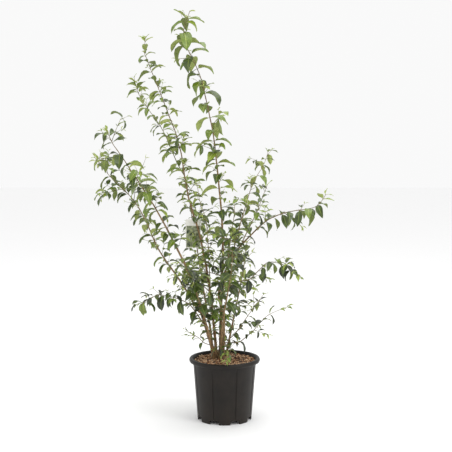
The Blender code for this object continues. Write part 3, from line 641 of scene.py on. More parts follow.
def growFiner(name, lines, within, amounts, hang, kept, taken):  # the same rule, carried on to finer twigs
    perMetre, usual, size = amounts
    rng = random.Random("privet fine " + name)
    card = taken.trees[taken.names.index("care_tag")]
    turn = rng.uniform(0, fullTurn)
    for line in lines:
        for _ in range(round(perMetre * line.length)):
            length = usual * rng.uniform(0.6, 1.3)
            s = line.length * rng.uniform(0.04, 0.97)
            turn += goldenAngle
            twig = sideTwig(line, s, turn, length, fineForm, rng)
            hanging = hang * s / line.length
            own = leafPairs(twig, 0.3 * length, (size, size), finePitch, hanging, rng, fineYoung)
            shape = tube(twig, stemRadius(fineRadius, twig.length), twigSides, twigSwell, pointed=True)
            outer = twig.part(length * 0.25, twig.length)  # past the stem that it grows from
            past = tube(outer, lambda _: fineRadius[1], twigSides, pointed=True)
            if not inReach(shape, *within) or not taken.free(past):
                continue
            if BVHTree.FromPolygons(*shape).overlap(card):
                continue
            taken.add(name, past)
            kept["twigs"].append((twig, fineRadius))
            for leaf in own:
                blade = leafSolid(leaf, leafNeck)
                if inReach(blade, *within) and taken.free(blade):
                    taken.add(name, blade)
                    kept["leaves"].append(leaf | {"rank": 1})


def tipBuds(line, size, rng):  # a last pair of small leaves, closed over the bud
    s = line.length * 0.995
    angle = rng.uniform(0, fullTurn)
    pair = []
    for halfTurn in (0, math.pi):
        pair.append(makeLeaf(line, s, angle + halfTurn, size * rng.uniform(0.8, 1.2), budAge, 0, rng))
    low, high = np.array(cadBox[0]) + budMargin, np.array(cadBox[1]) - budMargin
    return [leaf | {"rank": 2} for leaf in pair if inReach(leafSolid(leaf, 0), low, high)]


def around(name):  # a mass's box, let out a little but not past the plant's
    low, high = [np.array(corner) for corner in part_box(name)]
    return np.maximum(low - pastReach, cadBox[0]), np.minimum(high + pastReach, cadBox[1])


def growPlant():
    taken = Taken()
    for name, node in frame["nodes"].items():
        if name.endswith("_stem") or name in ("pot", "soil", "root_crown", "care_tag"):
            taken.add(name, shapeOf(node))
    stems, masses = {}, {}
    for name, spec in mainStems.items():
        line = smoothLine(spec["path"], lineStep, rngFor(name))
        stems[name] = (line, stemRadius(spec["radius"], line.length, footFlare))
    for name, spec in sideLimbs.items():
        on = spec["on"]
        stems[name], _ = leavingStem(stems[on][0], spec["at"], spec, taken.bark(on), rngFor(name))
    for name, spec in (mainStems | sideLimbs).items():
        length = stems[name][0].length
        masses[name + "_foliage"] = (partOf(stems[name], spec["bare"] * length + gap, length), None, spec)
    for name, spec in leafyShoots.items():
        on = spec["on"]
        stem, facing = leavingStem(stems[on][0], spec["at"], spec, taken.bark(on), rngFor(name))
        masses[name + "_foliage"] = (stem, facing, spec)
    for name, (stem, facing, _) in masses.items():
        taken.add(name, stemShape(stem, facing))
    for on in limbSprays:
        for name, stem, facing, spec in sideSprays(on, stems[on][0], taken):
            taken.add(name, stemShape(stem, facing))
            masses[name] = (stem, facing, spec)
    grown = {}
    for name, (stem, facing, spec) in masses.items():
        grown[name] = growMass(name, stem, facing, spec, taken)
    coarse = sum(len(kept["leaves"]) for kept in grown.values())
    for name, (stem, _, spec) in masses.items():
        lines = [stem[0], *[twig for twig, _ in grown[name]["twigs"]]]
        growFiner(name, lines, around(name), fineSpec(name), spec.get("hang", 0), grown[name], taken)
    overSoil = np.array((*cadBox[0][:2], lowestShoot))
    for name, spec in mainStems.items():  # short shoots straight off the bare limbs
        line = stems[name][0]
        bare = line.part(crownLength * 0.3, spec["bare"] * line.length)
        within = (overSoil, np.array(cadBox[1]))
        growFiner(name + " limb", [bare], within, limbShoots, 0, grown[name + "_foliage"], taken)
    for name, (stem, _, _) in masses.items():
        rng = random.Random("privet buds " + name)
        kept = grown[name]
        buds = tipBuds(stem[0], budSizes[0], rng)
        for twig, radius in kept["twigs"]:
            buds += tipBuds(twig, budSizes[2 if radius is fineRadius else 1], rng)
        kept["leaves"] += buds
    fine = sum(len(kept["leaves"]) for kept in grown.values())
    print("grown:", coarse, "leaves as in the solids,", fine, "in all")
    return stems, masses, grown


# Looks
def linear(hexText):  # an sRGB hex colour as linear RGBA
    parts = [int(hexText[i:i + 2], 16) / 255 for i in (1, 3, 5)]
    return (*[c / 12.92 if c <= 0.04045 else ((c + 0.055) / 1.055) ** 2.4 for c in parts], 1)


def addNode(tree, kind, inputs=None, **settings):
    node = tree.nodes.new(kind)
    for key, value in settings.items():
        setattr(node, key, value)
    for key, value in (inputs or {}).items():
        if isinstance(value, bpy.types.NodeSocket):
            tree.links.new(value, node.inputs[key])
        else:
            node.inputs[key].default_value = value
    return node


def newMaterial(name):
    made = bpy.data.materials.new(name)
    made.use_nodes = True
    return made, made.node_tree, made.node_tree.nodes["Principled BSDF"]


def mottled(tree, source, size, low, high, detail=4.0):  # noise of a real size in metres, coloured
    grain = addNode(tree, "ShaderNodeTexNoise", {"Vector": source, "Scale": 1 / size, "Detail": detail})
    ramp = addNode(tree, "ShaderNodeValToRGB", {"Fac": grain.outputs["Fac"]})
    for element, position, colour in zip(ramp.color_ramp.elements, (0.35, 0.68), (low, high)):
        element.position = position
        element.color = linear(colour)
    return ramp.outputs["Color"], grain.outputs["Fac"]


def bumped(tree, shader, height, depth, strength=1.0):  # depth in metres
    bump = addNode(tree, "ShaderNodeBump", {"Height": height, "Distance": depth, "Strength": strength})
    tree.links.new(bump.outputs["Normal"], shader.inputs["Normal"])


def objectPlace(tree):
    return addNode(tree, "ShaderNodeTexCoord").outputs["Object"]


def mottledSkin(name, size, low, high, roughness, detail=4.0):
    made, tree, shader = newMaterial(name)
    colour, grain = mottled(tree, objectPlace(tree), size, low, high, detail)
    tree.links.new(colour, shader.inputs["Base Color"])
    shader.inputs["Roughness"].default_value = roughness
    return made, tree, shader, grain


def potPlastic():  # polypropylene, injection moulded: nearly black and matt, dusty low down, faintly rubbed
    made, tree, shader = newMaterial("moulded_polypropylene")
    place = objectPlace(tree)
    colour, _ = mottled(tree, place, 0.045, "#120d08", "#1a140e")
    height = addNode(tree, "ShaderNodeSeparateXYZ", {"Vector": place}).outputs["Z"]
    dust = addNode(tree, "ShaderNodeMapRange", {"Value": height, "From Min": 0.10, "From Max": 0.0,
                                                 "To Min": 0.0, "To Max": 0.16})
    streak = addNode(tree, "ShaderNodeMapping", {"Vector": place, "Scale": (1, 1, 0.12)})
    rub = addNode(tree, "ShaderNodeTexNoise", {"Vector": streak.outputs["Vector"], "Scale": 70, "Detail": 6})
    dusty = addNode(tree, "ShaderNodeMath", {0: dust.outputs["Result"], 1: rub.outputs["Fac"]},
                    operation="MULTIPLY")
    mixed = addNode(tree, "ShaderNodeMix", {"Factor": dusty.outputs[0], "A": colour, "B": linear("#5a4f43")},
                    data_type="RGBA")
    tree.links.new(mixed.outputs["Result"], shader.inputs["Base Color"])
    rough = addNode(tree, "ShaderNodeMapRange", {"Value": rub.outputs["Fac"], "To Min": 0.40, "To Max": 0.58})
    tree.links.new(rough.outputs["Result"], shader.inputs["Roughness"])
    shader.inputs["Specular IOR Level"].default_value = 0.3
    grain = addNode(tree, "ShaderNodeTexNoise", {"Vector": place, "Scale": 1 / 0.0012, "Detail": 2})
    bumped(tree, shader, grain.outputs["Fac"], 0.00015, 0.5)
    return made


def barkOrTwig():  # thin fissured brown bark on old wood, smooth olive skin on young, by the age attribute
    made, tree, shader = newMaterial("privet_bark")
    alongStem = addNode(tree, "ShaderNodeUVMap", uv_map="stem").outputs["UV"]
    stretched = addNode(tree, "ShaderNodeMapping", {"Vector": alongStem, "Scale": (1, 0.22, 1)})
    old, grain = mottled(tree, stretched.outputs["Vector"], 0.0045, "#57432b", "#a38359", 6.0)
    young, _ = mottled(tree, stretched.outputs["Vector"], 0.006, "#665838", "#8d7c55")
    age = addNode(tree, "ShaderNodeAttribute", attribute_name="age").outputs["Fac"]
    mixed = addNode(tree, "ShaderNodeMix", {"Factor": age, "A": young, "B": old}, data_type="RGBA")
    tree.links.new(mixed.outputs["Result"], shader.inputs["Base Color"])
    shader.inputs["Roughness"].default_value = 0.72
    bumped(tree, shader, grain, 0.0004, 0.6)
    return made


def leafSkin(name, low, high, roughness, coat):  # evergreen leaf: waxed and glossy above, pale and dull below
    made, _, shader, _ = mottledSkin(name, 0.014, low, high, roughness, 3.0)
    shader.inputs["Coat Weight"].default_value = coat
    shader.inputs["Coat Roughness"].default_value = 0.3
    return made


def looseMatter(name, low, high, size, depth):  # shredded conifer bark and compost: matt, fibrous, uneven
    made, tree, shader, grain = mottledSkin(name, size, low, high, 0.92, 8.0)
    bumped(tree, shader, grain, depth, 0.8)
    return made


def meshObject(name, points, faces, materials, smooth=True):
    mesh = bpy.data.meshes.new(name)
    mesh.from_pydata(points, [], faces)
    mesh.update()
    for made in materials:
        mesh.materials.append(made)
    if smooth:
        mesh.shade_smooth()
    thing = bpy.data.objects.new(name, mesh)
    bpy.context.scene.collection.objects.link(thing)
    return thing


def facedOutwards(mesh):  # doubles merged, then every face turned outwards
    work = bmesh.new()
    work.from_mesh(mesh)
    bmesh.ops.remove_doubles(work, verts=work.verts, dist=1e-6)
    bmesh.ops.recalc_face_normals(work, faces=work.faces)
    work.to_mesh(mesh)
    work.free()


def between(low, high, sides):  # the faces from one ring of points up to the next
    return [(low + k, low + (k + 1) % sides, high + (k + 1) % sides, high + k) for k in range(sides)]


def keptInBox(thing):  # a twig's outermost corners are drawn in to the plant's box
    points = np.zeros(len(thing.data.vertices) * 3)
    thing.data.vertices.foreach_get("co", points)
    points = np.clip(points.reshape(-1, 3), cadBox[0], cadBox[1])
    thing.data.vertices.foreach_set("co", points.ravel())


def finishPiece(thing, slot, *nodes):
    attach(thing, "root")
    if nodes:
        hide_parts(*nodes)
    print("piece", thing.name, len(thing.data.polygons), "faces")
    return thing


# Leaves: real outline, folded on the midrib and curled back, in four greens dealt out by spray: by age and
# chance, and by the spray's height as painted shade low down and painted light high up
leafForm = {
    "along": (0.055, 0.16, 0.30, 0.46, 0.63, 0.79, 0.91),  # rows between the blade's foot and its tip
    "widths": (0.40, 0.76, 0.96, 1.00, 0.82, 0.48, 0.19),  # shares of the half width at those rows
    "columns": (-1.0, -0.06, 0.06, 1.0),  # edge, both sides of the midrib, edge
    "halfWidth": 0.21, "fold": 0.42, "thickness": 0.011, "stalk": 0.075,  # shares of the length
    "twist": 0.35, "wave": 0.035, "crease": math.radians(22), "seed": 7, "perPiece": 2500,
}
greens = {  # upper side from and to, midrib, underside from and to
    "dark": ("#1a2505", "#253209", "#66762f", "#4f5c2c", "#606d38"),
    "mid": ("#334409", "#455a10", "#84953f", "#6a793c", "#7d8a4a"),
    "light": ("#5c721a", "#6f8626", "#a0ad58", "#8e9c52", "#9faa61"),
    "young": ("#7f9231", "#91a340", "#b3bd6e", "#a6b064", "#b5bf73"),
}
tintForm = {  # a leaf's tint goes by its spray's height (painted shade low down, painted light high up), by chance and by its age
    "low": 0.45, "rise": 0.8, "byPaintedLight": 0.7, "chance": (0.36, 0.24), "youngBelow": 0.42, "young": 0.9,
    "steps": (0.38, 0.82, 1.25),
}


def tintOf(leaf, light, rng):
    # painted light and shade: leaves on higher sprays move towards the lighter greens, and those on lower
    # sprays stay dark
    value = light * tintForm["byPaintedLight"] + rng.gauss(*tintForm["chance"])
    if leaf["ripeness"] < tintForm["youngBelow"]:
        value += tintForm["young"]
    return list(greens)[sum(value >= step for step in tintForm["steps"])]


def leafArrays(leaves, rng):
    def rows(key):
        return np.array([tuple(leaf[key]) for leaf in leaves])[:, None, :]

    def one(key):
        return np.array([leaf[key] for leaf in leaves])[:, None, None]

    count = len(leaves)
    form = leafForm
    t = np.array((0.0, *form["along"], 1.0))[None, :, None]
    u = form["stalk"] + (1 - form["stalk"]) * t
    curl, size = one("curl"), one("size")
    out, face, across = rows("out"), rows("face"), rows("across")
    run, drop = np.sin(curl * u) / curl, (1 - np.cos(curl * u)) / curl
    middle = rows("root") + (out * run - face * drop) * size
    up = face * np.cos(curl * u) + out * np.sin(curl * u)
    turn = rng.normal(0, form["twist"], (count, 1, 1)) * u
    side, up = across * np.cos(turn) + up * np.sin(turn), up * np.cos(turn) - across * np.sin(turn)
    width = np.array((0.0, *form["widths"], 0.0))[None, :, None]
    width = width * form["halfWidth"] * size * (0.8 + 3 * size)  # large leaves are broader
    width = width * rng.uniform(0.86, 1.12, (count, 1, 1))
    fold = form["fold"] * rng.uniform(0.4, 1.3, (count, 1, 1))
    wave = form["wave"] * size * np.sin(9 * t + rng.uniform(0, 6.3, (count, 1, 1)))
    top = []
    for column in form["columns"]:
        lift = fold * abs(column)**1.25 * width + wave * column * abs(column)
        top.append(middle + side * width * column + up * lift)
    keel = middle - up * form["thickness"] * size
    return np.stack(top, 2), keel, middle


def leafFaces(rowsBetween):  # upper skin, midrib and underside, as corners within one leaf
    columns = len(leafForm["columns"])
    perRow = columns + 1  # the last point of each row is the keel's
    foot, tip = rowsBetween * perRow, rowsBetween * perRow + 1
    last = (rowsBetween - 1) * perRow
    upper, rib, lower = [], [], []
    for c in range(columns - 1):
        skin = rib if c == 1 else upper
        for a in range(0, last, perRow):
            b = a + perRow
            skin.append((a + c, a + c + 1, b + c + 1, b + c))
        skin += [(foot, c + 1, c), (tip, last + c, last + c + 1)]
    for a in range(0, last, perRow):
        b = a + perRow
        lower.append((a, b, b + columns, a + columns))
        lower.append((a + columns, b + columns, b + columns - 1, a + columns - 1))
    lower += [(foot, 0, columns), (foot, columns, columns - 1)]
    lower += [(tip, last + columns, last), (tip, last + columns - 1, last + columns)]
    return upper, rib, lower


def leafPoints(leaves, rng):  # every leaf's corners: row by row, then its foot and tip
    top, keel, middle = leafArrays(leaves, rng)
    inner = np.concatenate((top[:, 1:-1], keel[:, 1:-1, None, :]), 2)
    points = np.concatenate((inner.reshape(len(leaves), -1, 3), middle[:, :1], middle[:, -1:]), 1)
    roots = np.array([tuple(leaf["root"]) for leaf in leaves])[:, None, :]
    reach = points - roots
    room = np.where(reach > 0, np.array(cadBox[1]) - roots, roots - np.array(cadBox[0]))
    share = (room / np.maximum(np.abs(reach), 1e-9)).min((1, 2))
    return roots + reach * np.minimum(1, 0.999 * share)[:, None, None]  # kept in the plant's box


def uncrossed(points, bark):  # the leaves that cut through no stem and through none before them
    faces = [face for skin in leafFaces(len(leafForm["along"])) for face in skin]
    pastFoot = [face for face in faces if min(face) > 2 * len(leafForm["columns"]) + 1]
    trees = [BVHTree.FromPolygons(leaf.tolist(), faces) for leaf in points]
    middles = (points.min(1) + points.max(1)) / 2
    reaches = np.linalg.norm(points - middles[:, None], axis=2).max(1)
    kept = []
    for i, tree in enumerate(trees):
        if BVHTree.FromPolygons(points[i].tolist(), pastFoot).overlap(bark):
            continue
        away = np.linalg.norm(middles[kept] - middles[i], axis=1)
        near = np.flatnonzero(away < reaches[kept] + reaches[i])
        if not any(tree.overlap(trees[kept[j]]) for j in near):
            kept.append(i)
    return kept


def leafPiece(name, points, materials):
    count, perLeaf = points.shape[:2]
    skins = leafFaces(len(leafForm["along"]))
    faces = [tuple(perLeaf * i + v for v in face) for i in range(count) for skin in skins for face in skin]
    thing = meshObject(name, points.reshape(-1, 3).tolist(), faces, materials)
    slots = np.concatenate([np.full(len(skin), i) for i, skin in enumerate(skins)])
    thing.data.polygons.foreach_set("material_index", np.tile(slots, count))
    thing.data.set_sharp_from_angle(angle=leafForm["crease"])
    return thing


def leafStalks(leaves):  # a short stalk from the twig to the blade's foot, three-sided
    shapes = []
    for leaf in leaves:
        line = Line([leafPoint(leaf, 0.0), leafPoint(leaf, leafForm["stalk"] * 1.25)])
        thick = 0.00055 + 0.006 * leaf["size"]
        shapes.append(tube(line, lambda _: thick, 3))
    return shapes


def joined(shapes):
    points, faces = [], []
    for shapePoints, shapeFaces in shapes:
        first = len(points)
        points += shapePoints
        faces += [tuple(first + v for v in face) for face in shapeFaces]
    return points, faces


# Stems: round, with the bark's relief, swollen where leaves sit
stemForm = {
    "sides": 14, "ring": 0.006, "relief": 0.07, "reliefSize": 0.006,
    "node": 0.16, "nodeLength": 0.004, "nodeEvery": 0.046, "shootSides": 9,
}


def barkTube(stem, facing, sides):
    line, radiusAt = stem
    form = stemForm
    fine = smoothLine(line.points, form["ring"])
    stretch = line.length / fine.length

    def bark(mark):
        node = math.exp(-((mark % form["nodeEvery"] - form["nodeEvery"] / 2) / form["nodeLength"])**2)
        return radiusAt(mark * stretch) * (1 + form["node"] * node)

    points, faces = tube(fine, bark, sides, facing=facing)
    stemUv, ages = [], []
    for i, point in enumerate(points):
        ring = min(i // sides, len(fine.points) - 1)
        middle = fine.points[ring]
        rough = noise.noise(point / form["reliefSize"]) + 0.6 * noise.noise(point * 3 / form["reliefSize"])
        points[i] = middle + (point - middle) * (1 + form["relief"] * rough)
        radius = (point - middle).length
        stemUv.append((fullTurn * radius * (i % sides) / sides, fine.marks[ring]))
        ages.append(min(1.0, max(0.0, (radius - 0.0012) / 0.0022)))
    return points, faces, stemUv, ages


burlForm = {"foot": (-0.020, 0.029), "reach": 0.030, "low": 0.230, "height": 0.020, "rings": 9, "sides": 40}


def rootBurl():  # the swollen foot that the stems rise from
    form = burlForm
    rings, sides = form["rings"], form["sides"]
    points, faces = [], []
    for r in range(rings):
        share = r / (rings - 1)
        height = form["low"] + form["height"] * share
        for k in range(sides):
            angle = fullTurn * k / sides
            lobes = 1 + 0.16 * math.sin(3 * angle + 1.1) + 0.10 * math.sin(7 * angle)
            reach = form["reach"] * (1 - share**1.6 * 0.96) * lobes
            ray = Vector((math.cos(angle), math.sin(angle), 0))
            point = Vector((*form["foot"], height)) + ray * reach
            rough = noise.noise(point / 0.012) * 0.0022
            points.append(point + (ray + zUp * 0.3) * rough)
    for r in range(rings - 1):
        faces += between(r * sides, (r + 1) * sides, sides)
    faces.append(tuple(range((rings - 1) * sides, rings * sides)))
    faces.append(tuple(reversed(range(sides))))
    return points, faces, [(p.x, p.y) for p in points], [1.0] * len(points)


def barkPiece(name, parts, made):
    points, faces = joined([part[:2] for part in parts])
    uvs, ages = [], []
    for _, _, partUv, partAges in parts:
        uvs += partUv
        ages += partAges
    thing = meshObject(name, points, faces, [made])
    mesh = thing.data
    layer = mesh.uv_layers.new(name="stem")
    corners = np.zeros(len(mesh.loops), int)
    mesh.loops.foreach_get("vertex_index", corners)
    layer.data.foreach_set("uv", np.array(uvs)[corners].ravel())
    age = mesh.attributes.new("age", "FLOAT", "POINT")
    age.data.foreach_set("value", ages)
    return thing


# Pot: one turned wall with a rolled rim, eight feet between arches and eight fine grooves
potForm = {
    "height": 0.247, "rimRadius": 0.140, "rimDepth": 0.017, "bead": 0.011, "shoulder": 0.1245, "foot": 0.107,
    "wall": 0.003, "floor": 0.018, "floorThickness": 0.004, "feet": 8, "footHalf": math.radians(12),
    "arch": 0.0165, "grooveHalf": math.radians(1.6), "groove": 0.0019, "boss": 0.030, "steps": 240,
    "crease": math.radians(38),
}


def potAngles():  # even steps, with the edges of every foot and groove among them
    form = potForm
    pitch = fullTurn / form["feet"]
    archHalf = pitch / 2 - form["footHalf"]
    angles = [fullTurn * i / form["steps"] for i in range(form["steps"])]
    for k in range(form["feet"]):
        middle = pitch * (k + 0.5)
        for sign in (-1, 1):
            for off in (archHalf * 1.004, archHalf * 0.996, archHalf * 0.62, form["grooveHalf"],
                        form["grooveHalf"] * 0.55):
                angles.append((middle + sign * off) % fullTurn)
    return sorted(set(round(a, 7) for a in angles))


def potEdges(angle):  # the height of the wall's lower edge, and how deep the groove is, at an angle
    form = potForm
    pitch = fullTurn / form["feet"]
    archHalf = pitch / 2 - form["footHalf"]
    away = abs((angle % pitch) - pitch / 2)
    edge = 0.0
    if away < archHalf:
        share = (archHalf - away) / (archHalf * 0.38)
        edge = form["arch"] * min(1.0, 0.6 + 0.4 * math.sin(min(share, 1.0) * math.pi / 2))
    groove = form["groove"] * max(0.0, min(1.0, (form["grooveHalf"] - away) / (form["grooveHalf"] * 0.45)))
    return edge, groove


def potProfile(angle):  # radius and height, from the underside's middle round the outside to the bowl's floor
    form = potForm
    edge, groove = potEdges(angle)
    wall, bottom = form["wall"], form["floor"] - form["floorThickness"]
    beadLow = form["height"] - form["rimDepth"]

    def outer(z):
        return form["foot"] + (form["shoulder"] - form["foot"]) * z / beadLow

    low = min(edge, bottom - 0.0004) if edge else 0.0
    profile = [(0.0, bottom + 0.0006), (form["boss"], bottom + 0.0006), (form["boss"] + 0.0012, bottom)]
    profile.append((outer(low) - wall, bottom))
    profile.append((outer(low) - wall, edge if edge > bottom else low))
    profile.append((outer(low) - 0.0004, edge))
    for share in (0.0, 0.012, 0.03, 0.08, 0.2, 0.4, 0.6, 0.8, 0.93, 0.975):
        z = edge + 0.0005 + (beadLow - 0.005 - edge) * share
        fade = min(1.0, (1 - share) * 20, share * 60)  # the groove runs out at both ends
        profile.append((outer(z) - groove * fade, z))
    rim, top = form["rimRadius"], form["height"]
    profile += [(outer(beadLow) + 0.0006, beadLow - 0.0012), (rim - form["bead"] * 0.55, beadLow + 0.0004)]
    for i in range(9):  # the bead, rolled outwards
        turn = math.radians(-60 + 150 * i / 8)
        profile.append((rim - 0.0060 + 0.0060 * math.cos(turn), top - 0.0085 + 0.0085 * math.sin(turn)))
    profile += [(rim - form["bead"] - 0.001, top - 0.0004), (rim - form["bead"] - 0.0026, top - 0.003)]
    inside = form["shoulder"] - wall
    profile += [(inside, top - 0.012), (inside - 0.002, beadLow - 0.012)]
    profile += [(form["foot"] - wall, form["floor"] + 0.004), (form["foot"] - wall - 0.004, form["floor"])]
    profile.append((0.0, form["floor"]))
    return profile


def potPiece(name, made):
    form = potForm
    angles = potAngles()
    points, faces, rings = [], [], []
    for angle in angles:
        profile = potProfile(angle)
        ring = []
        for i, (radius, z) in enumerate(profile):
            if i in (0, len(profile) - 1):
                ring.append(None)
                continue
            points.append((math.sin(angle) * radius, -math.cos(angle) * radius, z))
            ring.append(len(points) - 1)
        rings.append(ring)
    centres = []
    for i in (0, len(profile) - 1):
        points.append((0, 0, profile[i][1]))
        centres.append(len(points) - 1)
    for ring, after in zip(rings, rings[1:] + rings[:1]):
        for i in range(len(ring) - 1):
            a, b, c, d = ring[i], after[i], after[i + 1], ring[i + 1]
            if a is None:
                faces.append((centres[0], c, d))
            elif d is None:
                faces.append((a, b, centres[1]))
            else:
                faces.append((a, b, c, d))
    thing = meshObject(name, points, faces, [made])
    facedOutwards(thing.data)
    thing.data.set_sharp_from_angle(angle=form["crease"])
    return thing


# Soil: a mounded bed of compost under loose chips of bark
soilForm = {
    "height": 0.2335, "mound": 0.004, "rough": 0.0024, "roughSize": 0.011, "reach": 0.1205, "depth": 0.02,
    "rings": 26, "sides": 96,
    "chipReach": 0.114, "chips": 2600, "chipLength": (0.005, 0.017), "chipShapes": 6, "chipTilt": 0.5,
}
barkTones = {  # from and to, and their share of the chips
    "brown": ("#74492a", "#a87446", 0.44),
    "pale": ("#b58c66", "#e0c3a2", 0.34),
    "dark": ("#2e1f16", "#4e3624", 0.22),
}


def soilHeight(x, y):
    reach = math.hypot(x, y) / soilForm["reach"]
    rough = noise.noise(Vector((x, y, 0.3)) / soilForm["roughSize"])
    mound = soilForm["mound"] * (1 - reach * reach)
    return soilForm["height"] + mound + soilForm["rough"] * rough * (1.05 - reach)


def soilRings(reach, rings, sides):  # points on the soil, ring by ring from the middle
    points = []
    for r in range(1, rings + 1):
        for k in range(sides):
            away, angle = reach * r / rings, fullTurn * k / sides
            x, y = away * math.cos(angle), away * math.sin(angle)
            points.append((x, y, soilHeight(x, y)))
    return points


def bedPiece(name, made):
    rings, sides = soilForm["rings"], soilForm["sides"]
    bottom = soilForm["height"] - soilForm["depth"]
    points = [(0, 0, soilHeight(0, 0)), *soilRings(soilForm["reach"], rings, sides)]
    points += [(x, y, bottom) for x, y, _ in points[-sides:]]
    points.append((0, 0, bottom))
    faces = []
    for k in range(sides):
        after = (k + 1) % sides
        faces.append((0, 1 + k, 1 + after))
        faces.append((1 + rings * sides + after, 1 + rings * sides + k, len(points) - 1))
    for r in range(rings):
        faces += between(1 + (r + 1) * sides, 1 + r * sides, sides)
    return meshObject(name, points, faces, [made])


def chipShape(name, seed):  # one torn chip: a bent, tapered slab of few faces, about a unit long
    rng = random.Random(seed)
    points, faces = [], []
    width, thick = rng.uniform(0.28, 0.55), rng.uniform(0.10, 0.2)
    shares = (0.45, 1.0, 0.85, 0.3)
    for i, share in enumerate(shares):
        x = i / (len(shares) - 1) - 0.5
        for y, z in ((-1, -1), (1, -1), (1, 1), (-1, 1)):
            points.append((x + rng.uniform(-0.08, 0.08), y * width / 2 * share * rng.uniform(0.7, 1.2),
                           z * thick / 2 * rng.uniform(0.6, 1.2) + 0.12 * (0.25 - x * x)))
    for i in range(len(shares) - 1):
        for k in range(4):
            a, b = 4 * i + k, 4 * i + (k + 1) % 4
            faces.append((a, b, b + 4, a + 4))
    faces += [(3, 2, 1, 0), tuple(4 * (len(shares) - 1) + k for k in range(4))]
    chip = meshObject(name, points, faces, [], smooth=False)
    facedOutwards(chip.data)
    return chip


def scatterTree(name):  # chips dealt over a surface, each with its own size and tilt
    tree = bpy.data.node_groups.new(name, "GeometryNodeTree")
    ports = {}
    kinds = {
        "Geometry": "Geometry", "Chips": "Collection", "Count": "Float", "Shortest": "Float",
        "Longest": "Float", "Tilt": "Float", "Lift": "Float", "Seed": "Int", "Material": "Material",
    }
    for label, kind in kinds.items():
        port = tree.interface.new_socket(label, in_out="INPUT", socket_type="NodeSocket" + kind)
        ports[label] = port.identifier
    tree.interface.new_socket("Geometry", in_out="OUTPUT", socket_type="NodeSocketGeometry")
    given = addNode(tree, "NodeGroupInput").outputs
    points = addNode(tree, "GeometryNodeDistributePointsOnFaces",
                     {"Mesh": given["Geometry"], "Density": given["Count"], "Seed": given["Seed"]})
    info = addNode(tree, "GeometryNodeCollectionInfo",
                   {"Collection": given["Chips"], "Separate Children": True, "Reset Children": True})
    tilt = addNode(tree, "ShaderNodeMath", {0: given["Tilt"], 1: -1.0}, operation="MULTIPLY")
    turnLow = addNode(tree, "ShaderNodeCombineXYZ", {"X": tilt.outputs[0], "Y": tilt.outputs[0], "Z": 0.0})
    turnHigh = addNode(tree, "ShaderNodeCombineXYZ", {"X": given["Tilt"], "Y": given["Tilt"], "Z": fullTurn})
    turn = addNode(tree, "FunctionNodeRandomValue",
                   {0: turnLow.outputs[0], 1: turnHigh.outputs[0], "Seed": given["Seed"]},
                   data_type="FLOAT_VECTOR")
    size = addNode(tree, "FunctionNodeRandomValue",
                   {2: given["Shortest"], 3: given["Longest"], "Seed": given["Seed"]}, data_type="FLOAT")
    placed = addNode(tree, "GeometryNodeInstanceOnPoints",
                     {"Points": points.outputs["Points"], "Instance": info.outputs["Instances"],
                      "Pick Instance": True, "Rotation": turn.outputs[0], "Scale": size.outputs[1]})
    lift = addNode(tree, "ShaderNodeCombineXYZ", {"Z": given["Lift"]})
    moved = addNode(tree, "GeometryNodeTranslateInstances",
                    {"Instances": placed.outputs[0], "Translation": lift.outputs[0], "Local Space": False})
    real = addNode(tree, "GeometryNodeRealizeInstances", {"Geometry": moved.outputs[0]})
    coated = addNode(tree, "GeometryNodeSetMaterial",
                     {"Geometry": real.outputs[0], "Material": given["Material"]})
    out = addNode(tree, "NodeGroupOutput")
    tree.links.new(coated.outputs[0], out.inputs[0])
    return tree, ports


def chipPieces(chips, tree, ports):
    area = math.pi * soilForm["chipReach"]**2
    shortest, longest = soilForm["chipLength"]
    rings, sides = 12, 48
    found = []
    for seed, (tone, (low, high, part)) in enumerate(barkTones.items()):
        faces = []
        for r in range(0, (rings - 1) * sides, sides):
            for k in range(sides):
                after = (k + 1) % sides
                faces.append((r + k, r + sides + k, r + sides + after, r + after))
        faces.append(tuple(range(sides)))
        bed = meshObject("chip_bed", soilRings(soilForm["chipReach"], rings, sides), faces, [], smooth=False)
        given = {
            "Chips": chips, "Count": soilForm["chips"] * part / area, "Shortest": shortest,
            "Longest": longest, "Tilt": soilForm["chipTilt"], "Lift": 0.0012 + 0.0006 * seed,
            "Seed": 3 + seed, "Material": looseMatter("shredded_bark_" + tone, low, high, 0.003, 0.0006),
        }
        layer = bed.modifiers.new("scatter", "NODES")
        layer.node_group = tree
        for label, value in given.items():
            layer[ports[label]] = value
        mesh = bpy.data.meshes.new_from_object(bed.evaluated_get(bpy.context.evaluated_depsgraph_get()))
        mesh.name = "mulch_" + tone
        bed.modifiers.clear()
        bpy.data.objects.remove(bed)
        thing = bpy.data.objects.new(mesh.name, mesh)
        bpy.context.scene.collection.objects.link(thing)
        found.append(thing)
    return found


# Care card: blank, bowed a little, held by a band round its stem
tagForm = {
    "width": 0.059, "height": 0.115, "thickness": 0.0006, "at": 0.415, "behind": 0.0145, "left": 0.66,
    "corner": 0.004, "bow": 0.0005, "border": 0.003, "head": 0.026, "columns": 22,
    "band": 0.0011, "bandWidth": 0.005, "bandSides": 40, "neck": 0.004,
    "crease": math.radians(35),
}


